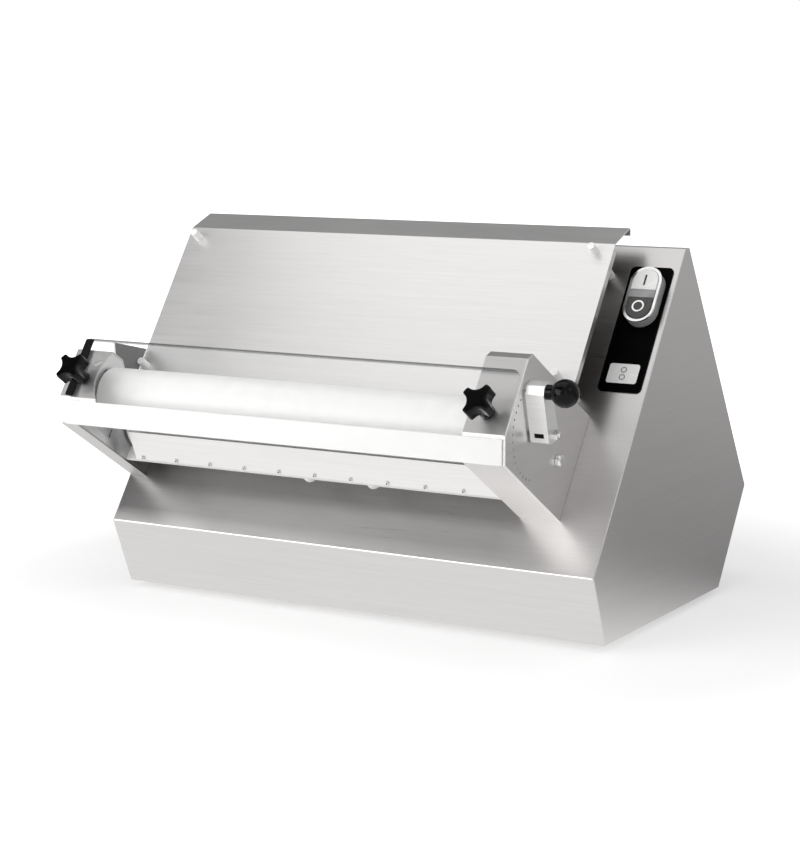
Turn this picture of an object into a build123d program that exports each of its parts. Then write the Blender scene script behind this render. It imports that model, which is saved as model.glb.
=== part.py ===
from build123d import *
from math import cos, hypot, radians, sin
import os

# Bench-top dough sheeter: a wedge-shaped stainless body whose sloping front carries a feed chute and,
# below it, a pair of rollers driven by a gearmotor inside the body.  A lever on the right end plate
# turns a scroll cam that lifts the front roller's bearing blocks, which sets the dough's thickness.
# World frame: X to the right, Y to the back, Z up, millimetres.  Origin: floor level, middle of the
# body's width and of the whole machine's depth.

os.makedirs("parts", exist_ok=True)

# --- Driving dimensions ---------------------------------------------------------------------------
BODY_WIDTH = 630.0
SHEET = 1.5
BEND = 2.5
FOOT_HEIGHT = 8.0
BASE_FRONT_Y = -122.5
BASE_BACK_Y = 195.5
LIP_TOP = (-155.0, 87.0)
APEX_FRONT = (75.5, 418.5)
APEX_BACK = (86.5, 418.5)
BACK_KNEE = (273.0, 120.0)

HEAD_LEFT = -315.0
HEAD_RIGHT = 258.0
HEAD_FRONT_Y = -247.5
HEAD_FRONT_LOW_Z = 216.4
HEAD_TOP = 167.5
END_PLATE = 2.5
FRAME_PLATE = 8.0
LEFT_FRAME_X = -300.5
RIGHT_FRAME_X = 208.5
PLATE_INSET = 2.0

ROLLER_RADIUS = 32.5
ROLLER_START = -290.0
ROLLER_END = 207.0
ROLLER_GAP = 1.0
ROLLER_S = 112.0
REAR_ROLLER_H = 44.0
AXLE_RADIUS = 10.0
BUSH_RADIUS = 12.0
RUNNING_FIT = 0.05
PRESS_FIT = 0.02
GAP = 0.3

GEAR_MODULE = 4.0
GEAR_TEETH = 16
GEAR_START = -311.5
GEAR_WIDTH = 9.0

CAM_RADIUS = 14.0
CAM_RISE_PER_TURN = 8.0
CAM_START = 236.5
CAM_WIDTH = 7.0
LEVER_BACK = 18.0
LEVER_FORWARD = 144.0
LEVER_REST = 56.8
INDEX_RADIUS = 50.0
INDEX_HOLES = 19
BRACKET_IN = 260.0
BRACKET_OUT = 281.0
BRACKET_SHEET = 2.0
BALL_X = 301.5
BALL_RADIUS = 15.0

STUD_RADIUS = 3.0
STUD_S = 102.0
LEFT_STUD_X = HEAD_LEFT + 26.0
RIGHT_STUD_X = HEAD_RIGHT - 26.0

PULLEY_RADIUS = 24.0
PULLEY_START = 222.0
PULLEY_WIDTH = 14.0
BELT_THICKNESS = 3.0
MOTOR_H = -136.0
MOTOR_START = -40.0
MOTOR_END = 127.0
GEARBOX_START = 130.0
GEARBOX_END = 196.0

CHUTE_H = 52.6
CHUTE_LOW_S = 175.0
CHUTE_TOP_S = 375.0
CHUTE_RIGHT = 256.0

SWITCH_X = 285.5
SWITCH_S = 335.0
BUTTON_TRAVEL = 3.0

# --- Frames of reference --------------------------------------------------------------------------
# s runs up the slope from the lip's top bend, h stands out of it.
SLOPE_LENGTH = hypot(APEX_FRONT[0] - LIP_TOP[0], APEX_FRONT[1] - LIP_TOP[1])
SLOPE_COS = (APEX_FRONT[0] - LIP_TOP[0]) / SLOPE_LENGTH
SLOPE_SIN = (APEX_FRONT[1] - LIP_TOP[1]) / SLOPE_LENGTH
UP_SLOPE = (0, SLOPE_COS, SLOPE_SIN)
OUT_OF_SLOPE = (0, -SLOPE_SIN, SLOPE_COS)


def to_world(s, h):
    """World y and z of a point of the slope's frame."""
    return LIP_TOP[0] + s * SLOPE_COS - h * SLOPE_SIN, LIP_TOP[1] + s * SLOPE_SIN + h * SLOPE_COS


def to_slope(y, z):
    """The slope's s and h of a world point."""
    dy, dz = y - LIP_TOP[0], z - LIP_TOP[1]
    return dy * SLOPE_COS + dz * SLOPE_SIN, dz * SLOPE_COS - dy * SLOPE_SIN


def section(x):
    """Plane across the machine at x: its x runs up the slope, its y out of it."""
    return Plane(origin=(x, *LIP_TOP), x_dir=UP_SLOPE, z_dir=(1, 0, 0))


def over_slope(height=0.0):
    """Plane parallel to the slope: its x is world X, its y runs up the slope."""
    return Plane(origin=(0, *to_world(0, height)), x_dir=(1, 0, 0), z_dir=OUT_OF_SLOPE)


def behind(height=0.0):
    """Plane parallel to the back's upper face: its x is world X, its y runs down the back."""
    run, drop = BACK_KNEE[0] - APEX_BACK[0], APEX_BACK[1] - BACK_KNEE[1]
    length = hypot(run, drop)
    normal = (0, drop / length, run / length)
    origin = (0, APEX_BACK[0] + height * normal[1], APEX_BACK[1] + height * normal[2])
    return Plane(origin=origin, x_dir=(1, 0, 0), z_dir=normal)


def along_arm(x):
    """Plane across the machine at x, on the lever's pivot: its x runs out along the lever's arm."""
    angle = radians(LEVER_REST)
    arm = [cos(angle) * u + sin(angle) * n for u, n in zip(UP_SLOPE, OUT_OF_SLOPE)]
    return Plane(origin=(x, *to_world(*PIVOT)), x_dir=arm, z_dir=(1, 0, 0))


def at_index_pin(x):
    """The lever's plane at x, moved out along the arm to its index pin."""
    return Plane(along_arm(x).location * Location((INDEX_RADIUS, 0, 0)))


def disc(start, end, axis, radius, mode=Mode.ADD):
    """Round bar across the machine, about the axis at (s, h), joined to the part being built."""
    with BuildSketch(section(start)) as circle:
        with Locations(axis):
            Circle(radius)
    extrude(circle.sketch, amount=end - start, mode=mode)


def slab(outline, start, end, mode=Mode.ADD):
    """Prism across the machine over an outline in s and h, joined to the part being built."""
    with BuildSketch(section(start)) as face:
        Polygon(*outline, align=None)
    extrude(face.sketch, amount=end - start, mode=mode)


# --- Derived places -------------------------------------------------------------------------------
BODY_LEFT = -BODY_WIDTH / 2
BODY_RIGHT = BODY_WIDTH / 2
INNER_LEFT = BODY_LEFT + SHEET
INNER_WIDTH = BODY_WIDTH - 2 * SHEET
BASE_FRONT = (BASE_FRONT_Y, FOOT_HEIGHT)
BASE_BACK = (BASE_BACK_Y, FOOT_HEIGHT)
BASE_MIDDLE_Y = (BASE_FRONT_Y + BASE_BACK_Y) / 2
FLOOR_TOP = FOOT_HEIGHT + SHEET
REAR_AXIS = (ROLLER_S, REAR_ROLLER_H)
FRONT_AXIS = (ROLLER_S, REAR_ROLLER_H + 2 * ROLLER_RADIUS + ROLLER_GAP)
PIVOT = FRONT_AXIS
MOTOR_AXIS = (ROLLER_S, MOTOR_H)
MOTOR_Y, MOTOR_Z = to_world(*MOTOR_AXIS)
FRAME_BOTTOM_S = 61.6
FRONT_TOP_S = (HEAD_FRONT_Y - LIP_TOP[0] + HEAD_TOP * SLOPE_SIN) / SLOPE_COS
HEAD_FRONT = [(FRAME_BOTTOM_S, 0), to_slope(HEAD_FRONT_Y, HEAD_FRONT_LOW_Z), (FRONT_TOP_S, HEAD_TOP)]
RIGHT_OUTLINE = [*HEAD_FRONT, (168, HEAD_TOP), (177.5, 160.5), (188, 0)]
LEFT_OUTLINE = [*HEAD_FRONT, (140, HEAD_TOP), (156, 134), (157, 113), (150, 104), (153, 40), (166, 0)]

# === Body: folded stainless sheet =================================================================
BELT_SLOT = (20.0, 60.0)
SWITCH_HOLE_RADIUS = 11.25

with BuildPart() as front_casing:
    with BuildSketch(Plane.YZ.offset(INNER_LEFT)):
        with BuildLine():
            FilletPolyline(BASE_FRONT, LIP_TOP, APEX_FRONT, APEX_BACK, radius=BEND)
            offset(amount=SHEET, side=Side.RIGHT)
        make_face()
    extrude(amount=INNER_WIDTH)
    with BuildSketch(over_slope(-2 * SHEET)):
        with Locations((PULLEY_START + PULLEY_WIDTH / 2, ROLLER_S)):
            Rectangle(*BELT_SLOT)
        with Locations((SWITCH_X, SWITCH_S)):
            Circle(SWITCH_HOLE_RADIUS)
    extrude(amount=3 * SHEET, mode=Mode.SUBTRACT)
front_casing.part.label = "front_casing"
export_step(front_casing.part, "parts/front_casing.step")

# The back's sheet starts and ends a little inside the corners it meets.
END_TRIM = 2.0
LEDGE_TRIM = 9.0
RIM = 1.4
LEDGE = 12.0
LEDGE_DROP = 0.1
LOUVRE = (70.0, 5.0)
SCREW_X = BODY_RIGHT - SHEET - LEDGE / 2
SCREW_DOWN = (50.0, 175.0, 300.0)
SCREW_PLACES = [(side * SCREW_X, down) for side in (-1, 1) for down in SCREW_DOWN]
SCREW_RADIUS = 2.0
SCREW_HOLE = 2.3
GLAND_PLACE = (-235.0, 285.0)
GLAND_HOLE_RADIUS = 8.2


def back_path(trim):
    """Points down the back from the apex to the base, trimmed at both ends."""
    upper = hypot(BACK_KNEE[0] - APEX_BACK[0], BACK_KNEE[1] - APEX_BACK[1])
    lower = hypot(BASE_BACK[0] - BACK_KNEE[0], BASE_BACK[1] - BACK_KNEE[1])
    start = [a + (b - a) * trim / upper for a, b in zip(APEX_BACK, BACK_KNEE)]
    end = [b + (a - b) * trim / lower for a, b in zip(BACK_KNEE, BASE_BACK)]
    return tuple(start), BACK_KNEE, tuple(end)


def side_panel(outer_x, inward):
    """Side sheet with a ledge under the back cover, folded towards the middle of the body."""
    with BuildPart() as panel:
        with BuildSketch(Plane.YZ.offset(outer_x)) as outline:
            Polygon(BASE_FRONT, LIP_TOP, APEX_FRONT, APEX_BACK, BACK_KNEE, BASE_BACK, align=None)
            bends = outline.vertices().sort_by(Axis.Z)[2:]
            fillet(bends, radius=BEND)
        extrude(amount=inward * SHEET)
        fillet(panel.faces().sort_by(Axis.X)[-1 if inward < 0 else 0].edges(), radius=RIM)
        with BuildSketch(Plane.YZ.offset(outer_x + inward * SHEET)):
            with BuildLine():
                FilletPolyline(*back_path(LEDGE_TRIM), radius=BEND + 4 * SHEET)
                offset(amount=2 * SHEET + LEDGE_DROP, side=Side.RIGHT)
            make_face()
            with BuildLine():
                FilletPolyline(*back_path(LEDGE_TRIM - SHEET), radius=BEND + 4 * SHEET)
                offset(amount=SHEET + LEDGE_DROP, side=Side.RIGHT)
            make_face(mode=Mode.SUBTRACT)
        extrude(amount=inward * LEDGE)
        with BuildSketch(behind(-4 * SHEET)):
            with Locations(*SCREW_PLACES):
                Circle(SCREW_RADIUS + 0.1)
        extrude(amount=4 * SHEET, mode=Mode.SUBTRACT)
    return panel


left_side_panel = side_panel(BODY_LEFT, 1)
left_side_panel.part.label = "left_side_panel"
export_step(left_side_panel.part, "parts/left_side_panel.step")

right_side_panel = side_panel(BODY_RIGHT, -1)
right_side_panel.part.label = "right_side_panel"
export_step(right_side_panel.part, "parts/right_side_panel.step")

with BuildPart() as rear_cover:
    with BuildSketch(Plane.YZ.offset(INNER_LEFT)):
        with BuildLine():
            FilletPolyline(*back_path(END_TRIM), radius=BEND)
            offset(amount=SHEET, side=Side.RIGHT)
        make_face()
    extrude(amount=INNER_WIDTH)
    with BuildSketch(behind(-2 * SHEET)):
        for column in (-110, 0, 110):
            with Locations((column, 180)):
                with GridLocations(1, 14, 1, 9):
                    SlotOverall(*LOUVRE)
        with Locations(*SCREW_PLACES):
            Circle(SCREW_HOLE)
        with Locations(GLAND_PLACE):
            Circle(GLAND_HOLE_RADIUS)
    extrude(amount=3 * SHEET, mode=Mode.SUBTRACT)
rear_cover.part.label = "rear_cover"
export_step(rear_cover.part, "parts/rear_cover.step")

SCREW_HEAD = (3.8, 2.2)
SCREW_LENGTH = 7.0

with BuildPart() as panel_screws:
    with BuildSketch(behind(-SCREW_LENGTH)):
        with Locations(*SCREW_PLACES):
            Circle(SCREW_RADIUS)
    extrude(amount=SCREW_LENGTH)
    with BuildSketch(behind()):
        with Locations(*SCREW_PLACES):
            Circle(SCREW_HEAD[0])
    extrude(amount=SCREW_HEAD[1], taper=15)
    with BuildSketch(behind(SCREW_HEAD[1] - 1)):
        for place in SCREW_PLACES:
            with Locations(place):
                Rectangle(4, 0.9)
                Rectangle(0.9, 4)
    extrude(amount=2, mode=Mode.SUBTRACT)
panel_screws.part.label = "panel_screws"
export_step(panel_screws.part, "parts/panel_screws.step")

BASE_DEPTH = BASE_BACK_Y - BASE_FRONT_Y - 3.4
BASE_WALL = 18.0
FOOT_SPACING = (500.0, 180.0)
FOOT_PLACES = [
    (i * FOOT_SPACING[0] / 2, BASE_MIDDLE_Y + j * FOOT_SPACING[1] / 2) for i in (-1, 1) for j in (-1, 1)
]
FOOT_RADIUS = 16.0
BOLT_RADIUS = 3.0
BOLT_HOLE = 3.2
BOLT_LENGTH = 7.5
BOLT_HEAD = 4.0
BRACKET_DEPTH = 96.0
BRACKET_FOOT = 80.0
BRACKET_PLATE = 3.0
BRACKET_BOLTS = [(MOTOR_END - BRACKET_FOOT / 2 + dx, MOTOR_Y + dy) for dx in (-26, 18) for dy in (-34, 34)]

with BuildPart() as base_plate:
    with BuildSketch(Plane.XY.offset(FOOT_HEIGHT)):
        with Locations((0, BASE_MIDDLE_Y)):
            Rectangle(INNER_WIDTH, BASE_DEPTH)
    extrude(amount=SHEET)
    with BuildSketch(Plane.XY.offset(FLOOR_TOP)):
        with Locations(*[(side * (INNER_LEFT + SHEET / 2), BASE_MIDDLE_Y) for side in (-1, 1)]):
            Rectangle(SHEET, BASE_DEPTH - 12)
    extrude(amount=BASE_WALL)
    with BuildSketch(Plane.XY.offset(FOOT_HEIGHT)):
        with Locations(*FOOT_PLACES):
            Circle(BOLT_HOLE)
        with Locations(*BRACKET_BOLTS):
            Circle(BOLT_HOLE)
        with Locations((-120, MOTOR_Y)):
            with GridLocations(1, 14, 1, 7):
                SlotOverall(80, 5)
    extrude(amount=SHEET, mode=Mode.SUBTRACT)
base_plate.part.label = "base_plate"
export_step(base_plate.part, "parts/base_plate.step")

with BuildPart() as feet:
    with BuildSketch(Plane.XY.offset(FOOT_HEIGHT)):
        with Locations(*FOOT_PLACES):
            Circle(FOOT_RADIUS)
    extrude(amount=-FOOT_HEIGHT, taper=12)
    with BuildSketch(Plane.XY.offset(FOOT_HEIGHT)):
        with Locations(*FOOT_PLACES):
            Circle(BOLT_RADIUS + PRESS_FIT)
    extrude(amount=-(BOLT_LENGTH - SHEET + GAP), mode=Mode.SUBTRACT)
feet.part.label = "feet"
export_step(feet.part, "parts/feet.step")


def hex_bolt_group(under_head, places):
    """Hexagon bolts pointing down, joined to the part being built, their heads standing on a plane."""
    with BuildSketch(Plane.XY.offset(under_head)) as shanks:
        with places:
            Circle(BOLT_RADIUS)
    extrude(shanks.sketch, amount=-BOLT_LENGTH)
    with BuildSketch(Plane.XY.offset(under_head)) as heads:
        with places:
            RegularPolygon(radius=5.0, side_count=6, major_radius=False)
    extrude(heads.sketch, amount=BOLT_HEAD)


with BuildPart() as hex_bolts:
    hex_bolt_group(FLOOR_TOP, Locations(*FOOT_PLACES))
    hex_bolt_group(FLOOR_TOP + BRACKET_PLATE, Locations(*BRACKET_BOLTS))
hex_bolts.part.label = "hex_bolts"
export_step(hex_bolts.part, "parts/hex_bolts.step")

# === Drive inside the body ========================================================================
MOTOR_RADIUS = 58.0
MOTOR_FIN = 4.0
MOTOR_BORE = 30.0
MOTOR_WALL = 8.0
SHAFT_RADIUS = 7.0
GEARBOX_RADIUS = 50.0
OUTPUT_RADIUS = 8.0
FAN_START = MOTOR_START - 40.0

with BuildPart() as motor_housing:
    disc(MOTOR_START, MOTOR_END, MOTOR_AXIS, MOTOR_RADIUS - MOTOR_FIN)
    with BuildSketch(section(MOTOR_START + MOTOR_WALL)):
        with Locations(MOTOR_AXIS):
            with PolarLocations(MOTOR_RADIUS - MOTOR_FIN, 24):
                Rectangle(2 * MOTOR_FIN, 3)
    extrude(amount=MOTOR_END - MOTOR_START - 2 * MOTOR_WALL)
    disc(MOTOR_START + MOTOR_WALL, MOTOR_END - MOTOR_WALL, MOTOR_AXIS, MOTOR_BORE, Mode.SUBTRACT)
    disc(MOTOR_START, MOTOR_END, MOTOR_AXIS, SHAFT_RADIUS + RUNNING_FIT, Mode.SUBTRACT)
motor_housing.part.label = "motor_housing"
export_step(motor_housing.part, "parts/motor_housing.step")

with BuildPart() as fan_cover:
    disc(FAN_START - 8, MOTOR_START, MOTOR_AXIS, MOTOR_RADIUS)
    disc(FAN_START - 8 + SHEET, MOTOR_START, MOTOR_AXIS, MOTOR_RADIUS - SHEET, Mode.SUBTRACT)
    with BuildSketch(section(FAN_START - 8)):
        with Locations(MOTOR_AXIS):
            with PolarLocations(34, 16):
                SlotOverall(30, 5)
    extrude(amount=SHEET, mode=Mode.SUBTRACT)
fan_cover.part.label = "fan_cover"
export_step(fan_cover.part, "parts/fan_cover.step")

with BuildPart() as motor_rotor:
    disc(FAN_START - 2, GEARBOX_START + 16, MOTOR_AXIS, SHAFT_RADIUS)
    disc(10, 75, MOTOR_AXIS, 21)
motor_rotor.part.label = "motor_rotor"
export_step(motor_rotor.part, "parts/motor_rotor.step")

with BuildPart() as cooling_fan:
    disc(FAN_START, FAN_START + 24, MOTOR_AXIS, 15)
    with BuildSketch(section(FAN_START)):
        with Locations(MOTOR_AXIS):
            with PolarLocations(30, 8):
                Rectangle(36, 3, rotation=12)
    extrude(amount=20)
    disc(FAN_START, FAN_START + 24, MOTOR_AXIS, SHAFT_RADIUS + PRESS_FIT, Mode.SUBTRACT)
cooling_fan.part.label = "cooling_fan"
export_step(cooling_fan.part, "parts/cooling_fan.step")

with BuildPart() as motor_bracket:
    with BuildSketch(Plane.YZ.offset(MOTOR_END)):
        with Locations((MOTOR_Y, FLOOR_TOP)):
            Rectangle(BRACKET_DEPTH, MOTOR_Z - FLOOR_TOP + 48, align=(Align.CENTER, Align.MIN))
        with Locations((MOTOR_Y, MOTOR_Z)):
            Circle(24, mode=Mode.SUBTRACT)
    extrude(amount=GEARBOX_START - MOTOR_END)
    with BuildSketch(Plane.XY.offset(FLOOR_TOP)):
        with Locations((MOTOR_END - BRACKET_FOOT / 2, MOTOR_Y)):
            Rectangle(BRACKET_FOOT, BRACKET_DEPTH)
        with Locations(*BRACKET_BOLTS):
            Circle(BOLT_HOLE, mode=Mode.SUBTRACT)
    extrude(amount=BRACKET_PLATE)
motor_bracket.part.label = "motor_bracket"
export_step(motor_bracket.part, "parts/motor_bracket.step")

with BuildPart() as gearbox:
    disc(GEARBOX_START, GEARBOX_END, MOTOR_AXIS, GEARBOX_RADIUS)
    disc(GEARBOX_END, GEARBOX_END + 10, MOTOR_AXIS, 18)
    disc(GEARBOX_START, GEARBOX_START + 18, MOTOR_AXIS, SHAFT_RADIUS + RUNNING_FIT, Mode.SUBTRACT)
    disc(GEARBOX_START + 30, GEARBOX_END + 10, MOTOR_AXIS, OUTPUT_RADIUS + RUNNING_FIT, Mode.SUBTRACT)
gearbox.part.label = "gearbox"
export_step(gearbox.part, "parts/gearbox.step")

with BuildPart() as gearbox_shaft:
    disc(GEARBOX_START + 32, PULLEY_START + PULLEY_WIDTH + 2, MOTOR_AXIS, OUTPUT_RADIUS)
gearbox_shaft.part.label = "gearbox_shaft"
export_step(gearbox_shaft.part, "parts/gearbox_shaft.step")


def pulley(axis, bore_radius):
    """Flat-belt pulley with two low flanges."""
    with BuildPart() as wheel:
        disc(PULLEY_START, PULLEY_START + PULLEY_WIDTH, axis, PULLEY_RADIUS)
        disc(PULLEY_START, PULLEY_START + 1, axis, PULLEY_RADIUS + 2)
        disc(PULLEY_START + PULLEY_WIDTH - 1, PULLEY_START + PULLEY_WIDTH, axis, PULLEY_RADIUS + 2)
        disc(PULLEY_START, PULLEY_START + PULLEY_WIDTH, axis, bore_radius + PRESS_FIT, Mode.SUBTRACT)
    return wheel


motor_pulley = pulley(MOTOR_AXIS, OUTPUT_RADIUS)
motor_pulley.part.label = "motor_pulley"
export_step(motor_pulley.part, "parts/motor_pulley.step")

roller_pulley = pulley(REAR_AXIS, AXLE_RADIUS)
roller_pulley.part.label = "roller_pulley"
export_step(roller_pulley.part, "parts/roller_pulley.step")

BELT_INNER = PULLEY_RADIUS + GAP
BELT_OUTER = BELT_INNER + BELT_THICKNESS

with BuildPart() as drive_belt:
    with BuildSketch(section(PULLEY_START + 1 + GAP)):
        with Locations((ROLLER_S, (REAR_ROLLER_H + MOTOR_H) / 2)):
            SlotCenterToCenter(REAR_ROLLER_H - MOTOR_H, 2 * BELT_OUTER, rotation=90)
            SlotCenterToCenter(REAR_ROLLER_H - MOTOR_H, 2 * BELT_INNER, rotation=90, mode=Mode.SUBTRACT)
    extrude(amount=PULLEY_WIDTH - 2 - 2 * GAP)
drive_belt.part.label = "drive_belt"
export_step(drive_belt.part, "parts/drive_belt.step")

with BuildPart() as contactor:
    with BuildSketch(Plane.XY.offset(FLOOR_TOP)):
        with Locations((-225, MOTOR_Y)):
            Rectangle(45, 52)
    extrude(amount=44)
    with BuildSketch(Plane.XY.offset(FLOOR_TOP + 44)):
        with Locations((-225, MOTOR_Y)):
            Rectangle(45, 30)
    extrude(amount=22)
contactor.part.label = "contactor"
export_step(contactor.part, "parts/contactor.step")

GLAND_BORE = 4.5
GLAND_TAIL = 9.0
GLAND_FLANGE = 5.0
GLAND_NECK = 14.0

with BuildPart() as cable_gland:
    with BuildSketch(behind()):
        with Locations(GLAND_PLACE):
            RegularPolygon(radius=11.0, side_count=6, major_radius=False)
    extrude(amount=GLAND_FLANGE)
    with BuildSketch(behind(GLAND_FLANGE)):
        with Locations(GLAND_PLACE):
            Circle(10.0)
    extrude(amount=GLAND_NECK, taper=12)
    with BuildSketch(behind(-GLAND_TAIL)):
        with Locations(GLAND_PLACE):
            Circle(GLAND_HOLE_RADIUS - 0.2)
    extrude(amount=GLAND_TAIL)
    with BuildSketch(behind(-GLAND_TAIL)):
        with Locations(GLAND_PLACE):
            Circle(GLAND_BORE)
    extrude(amount=GLAND_TAIL + GLAND_FLANGE + GLAND_NECK, mode=Mode.SUBTRACT)
cable_gland.part.label = "cable_gland"
export_step(cable_gland.part, "parts/cable_gland.step")

# === Head frame ===================================================================================
# Windows in the frame plates guide the front roller's bearing blocks, which slide out of the slope.
BLOCK_S = (67.8, 131.7)
BLOCK_H = (88.0, 132.0)
WINDOW_DOWN = 1.5
WINDOW_UP = 4.5
REAR_BUSH_RADIUS = 14.0
LEFT_PLATE_TOP = 160.0


def frame_plate(outline, start, top):
    """Thick plate across the head, standing on the slope, with a block window and the rear bore."""
    window = (BLOCK_S[1] - BLOCK_S[0] + 2 * GAP, BLOCK_H[1] - BLOCK_H[0] + WINDOW_DOWN + WINDOW_UP)
    centre = (sum(BLOCK_S) / 2, (BLOCK_H[0] - WINDOW_DOWN + BLOCK_H[1] + WINDOW_UP) / 2)
    with BuildPart() as plate:
        with BuildSketch(section(start)):
            Polygon(*outline, align=None)
            offset(amount=-PLATE_INSET, kind=Kind.INTERSECTION)
            with Locations(((outline[0][0] + outline[-1][0]) / 2, 0)):
                foot = outline[-1][0] - outline[0][0] - 2 * PLATE_INSET - 0.4
                Rectangle(foot, 2 * PLATE_INSET, align=(Align.CENTER, Align.MIN))
            with Locations((ROLLER_S, top)):
                Rectangle(200, 20, align=(Align.CENTER, Align.MIN), mode=Mode.SUBTRACT)
            with Locations(centre):
                Rectangle(*window, mode=Mode.SUBTRACT)
            with Locations(REAR_AXIS):
                Circle(REAR_BUSH_RADIUS + PRESS_FIT, mode=Mode.SUBTRACT)
        extrude(amount=FRAME_PLATE)
    return plate


left_frame_plate = frame_plate(LEFT_OUTLINE, LEFT_FRAME_X, LEFT_PLATE_TOP)
left_frame_plate.part.label = "left_frame_plate"
export_step(left_frame_plate.part, "parts/left_frame_plate.step")

right_frame_plate = frame_plate(RIGHT_OUTLINE, RIGHT_FRAME_X, HEAD_TOP)
right_frame_plate.part.label = "right_frame_plate"
export_step(right_frame_plate.part, "parts/right_frame_plate.step")

NUT_HEIGHT = 5.0
NUT_RADIUS = 5.4
STUD_CLEARANCE = 0.3
LEDGE_INNER_X = -264.0
LEDGE_NOTCH = 11.0


def head_band(outline, start, end):
    """Bent sheet that wraps the head's end, its outer face on the outline, joined to the part."""
    with BuildSketch(section(start)) as band:
        with BuildLine():
            FilletPolyline(*outline, radius=BEND)
            offset(amount=SHEET, side=Side.RIGHT)
        make_face()
    extrude(band.sketch, amount=end - start)
    slab([(40, -5), (200, -5), (200, 0), (40, 0)], start, end, Mode.SUBTRACT)


def knob_nut(stud_x):
    """Weld nut under the head's top sheet, bored with it for a knob's stud, joined to the part."""
    low = HEAD_TOP - SHEET - NUT_HEIGHT
    with BuildSketch(over_slope(low)) as nut:
        with Locations((stud_x, STUD_S)):
            Circle(NUT_RADIUS)
    extrude(nut.sketch, amount=NUT_HEIGHT + SHEET / 2)
    with BuildSketch(over_slope(low)) as bore:
        with Locations((stud_x, STUD_S)):
            Circle(STUD_RADIUS + STUD_CLEARANCE)
    extrude(bore.sketch, amount=NUT_HEIGHT + 2 * SHEET, mode=Mode.SUBTRACT)


with BuildPart() as right_head_cover:
    head_band(RIGHT_OUTLINE, RIGHT_FRAME_X, HEAD_RIGHT - END_PLATE)
    knob_nut(RIGHT_STUD_X)
right_head_cover.part.label = "right_head_cover"
export_step(right_head_cover.part, "parts/right_head_cover.step")

with BuildPart() as left_head_cover:
    head_band(LEFT_OUTLINE, HEAD_LEFT + END_PLATE, LEFT_FRAME_X + FRAME_PLATE)
    with BuildSketch(over_slope(HEAD_TOP - SHEET)):
        with BuildLine():
            corner_low = (LEDGE_INNER_X, FRONT_TOP_S)
            corner_high = (LEDGE_INNER_X, 139)
            notch = (LEDGE_INNER_X - LEDGE_NOTCH, (corner_low[1] + corner_high[1]) / 2)
            ThreePointArc(corner_low, notch, corner_high)
            Polyline(corner_high, (LEFT_FRAME_X, 139), (LEFT_FRAME_X, corner_low[1]), corner_low)
        make_face()
        with Locations((-279.0, 124.0)):
            SlotOverall(11, 5, rotation=30, mode=Mode.SUBTRACT)
    extrude(amount=SHEET)
    front_top_z = to_world(FRONT_TOP_S, HEAD_TOP)[1]
    front_wall = [
        to_slope(y, z)
        for y, z in (
            (HEAD_FRONT_Y, HEAD_FRONT_LOW_Z + 1),
            (HEAD_FRONT_Y, front_top_z),
            (HEAD_FRONT_Y + SHEET, front_top_z - SHEET / 2),
            (HEAD_FRONT_Y + SHEET, HEAD_FRONT_LOW_Z + 1),
        )
    ]
    slab(front_wall, LEFT_FRAME_X + FRAME_PLATE - 1, LEDGE_INNER_X)
    knob_nut(LEFT_STUD_X)
left_head_cover.part.label = "left_head_cover"
export_step(left_head_cover.part, "parts/left_head_cover.step")

# The end plate's ear reaches back over the chute's edge and closes the gap under the guard.
EAR_OUTLINE = [(145, 60), (168, 106), (178, 115), (202, 56), (174, 56), (174, 4), (151, 4)]

with BuildPart() as left_end_plate:
    with BuildSketch(section(HEAD_LEFT)) as end_face:
        Polygon(*LEFT_OUTLINE, align=None)
        fillet(end_face.vertices().filter_by(lambda v: v.Z > 150), radius=BEND)
    extrude(amount=END_PLATE)
    slab(EAR_OUTLINE, HEAD_LEFT, HEAD_LEFT + END_PLATE)
left_end_plate.part.label = "left_end_plate"
export_step(left_end_plate.part, "parts/left_end_plate.step")

SHAFT_LEVER_RADIUS = 6.0
REAR_STUB_RADIUS = 6.0
INDEX_DIMPLE = (1.4, 1.3)
MARK_DIMPLE = (0.8, 0.5)
MARK_RADIUS = 57.0
BOSS_RADIUS = 11.0
BOSS_START = CAM_START + CAM_WIDTH + 3.0

with BuildPart() as index_plate:
    with BuildSketch(section(HEAD_RIGHT - END_PLATE)) as end_face:
        Polygon(*RIGHT_OUTLINE, align=None)
        fillet(end_face.vertices().filter_by(lambda v: v.Z > 150), radius=BEND)
    extrude(amount=END_PLATE)
    chamfer(index_plate.faces().sort_by(Axis.X)[-1].edges(), length=0.8)
    disc(BOSS_START, HEAD_RIGHT - END_PLATE, PIVOT, BOSS_RADIUS)
    disc(BOSS_START, HEAD_RIGHT, PIVOT, SHAFT_LEVER_RADIUS + RUNNING_FIT, Mode.SUBTRACT)
    disc(HEAD_RIGHT - END_PLATE, HEAD_RIGHT, REAR_AXIS, REAR_STUB_RADIUS + GAP, Mode.SUBTRACT)
    for ring, (hole, depth) in ((INDEX_RADIUS, INDEX_DIMPLE), (MARK_RADIUS, MARK_DIMPLE)):
        with BuildSketch(section(HEAD_RIGHT - depth)):
            with Locations(PIVOT):
                first, sweep_angle = LEVER_REST - LEVER_BACK, LEVER_BACK + LEVER_FORWARD
                with PolarLocations(ring, INDEX_HOLES, first, sweep_angle, endpoint=True):
                    Circle(hole)
        extrude(amount=depth, mode=Mode.SUBTRACT)
index_plate.part.label = "index_plate"
export_step(index_plate.part, "parts/index_plate.step")

STRIP_TOP_Z = 243.5
STRIP_INSET = 3.0

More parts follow.
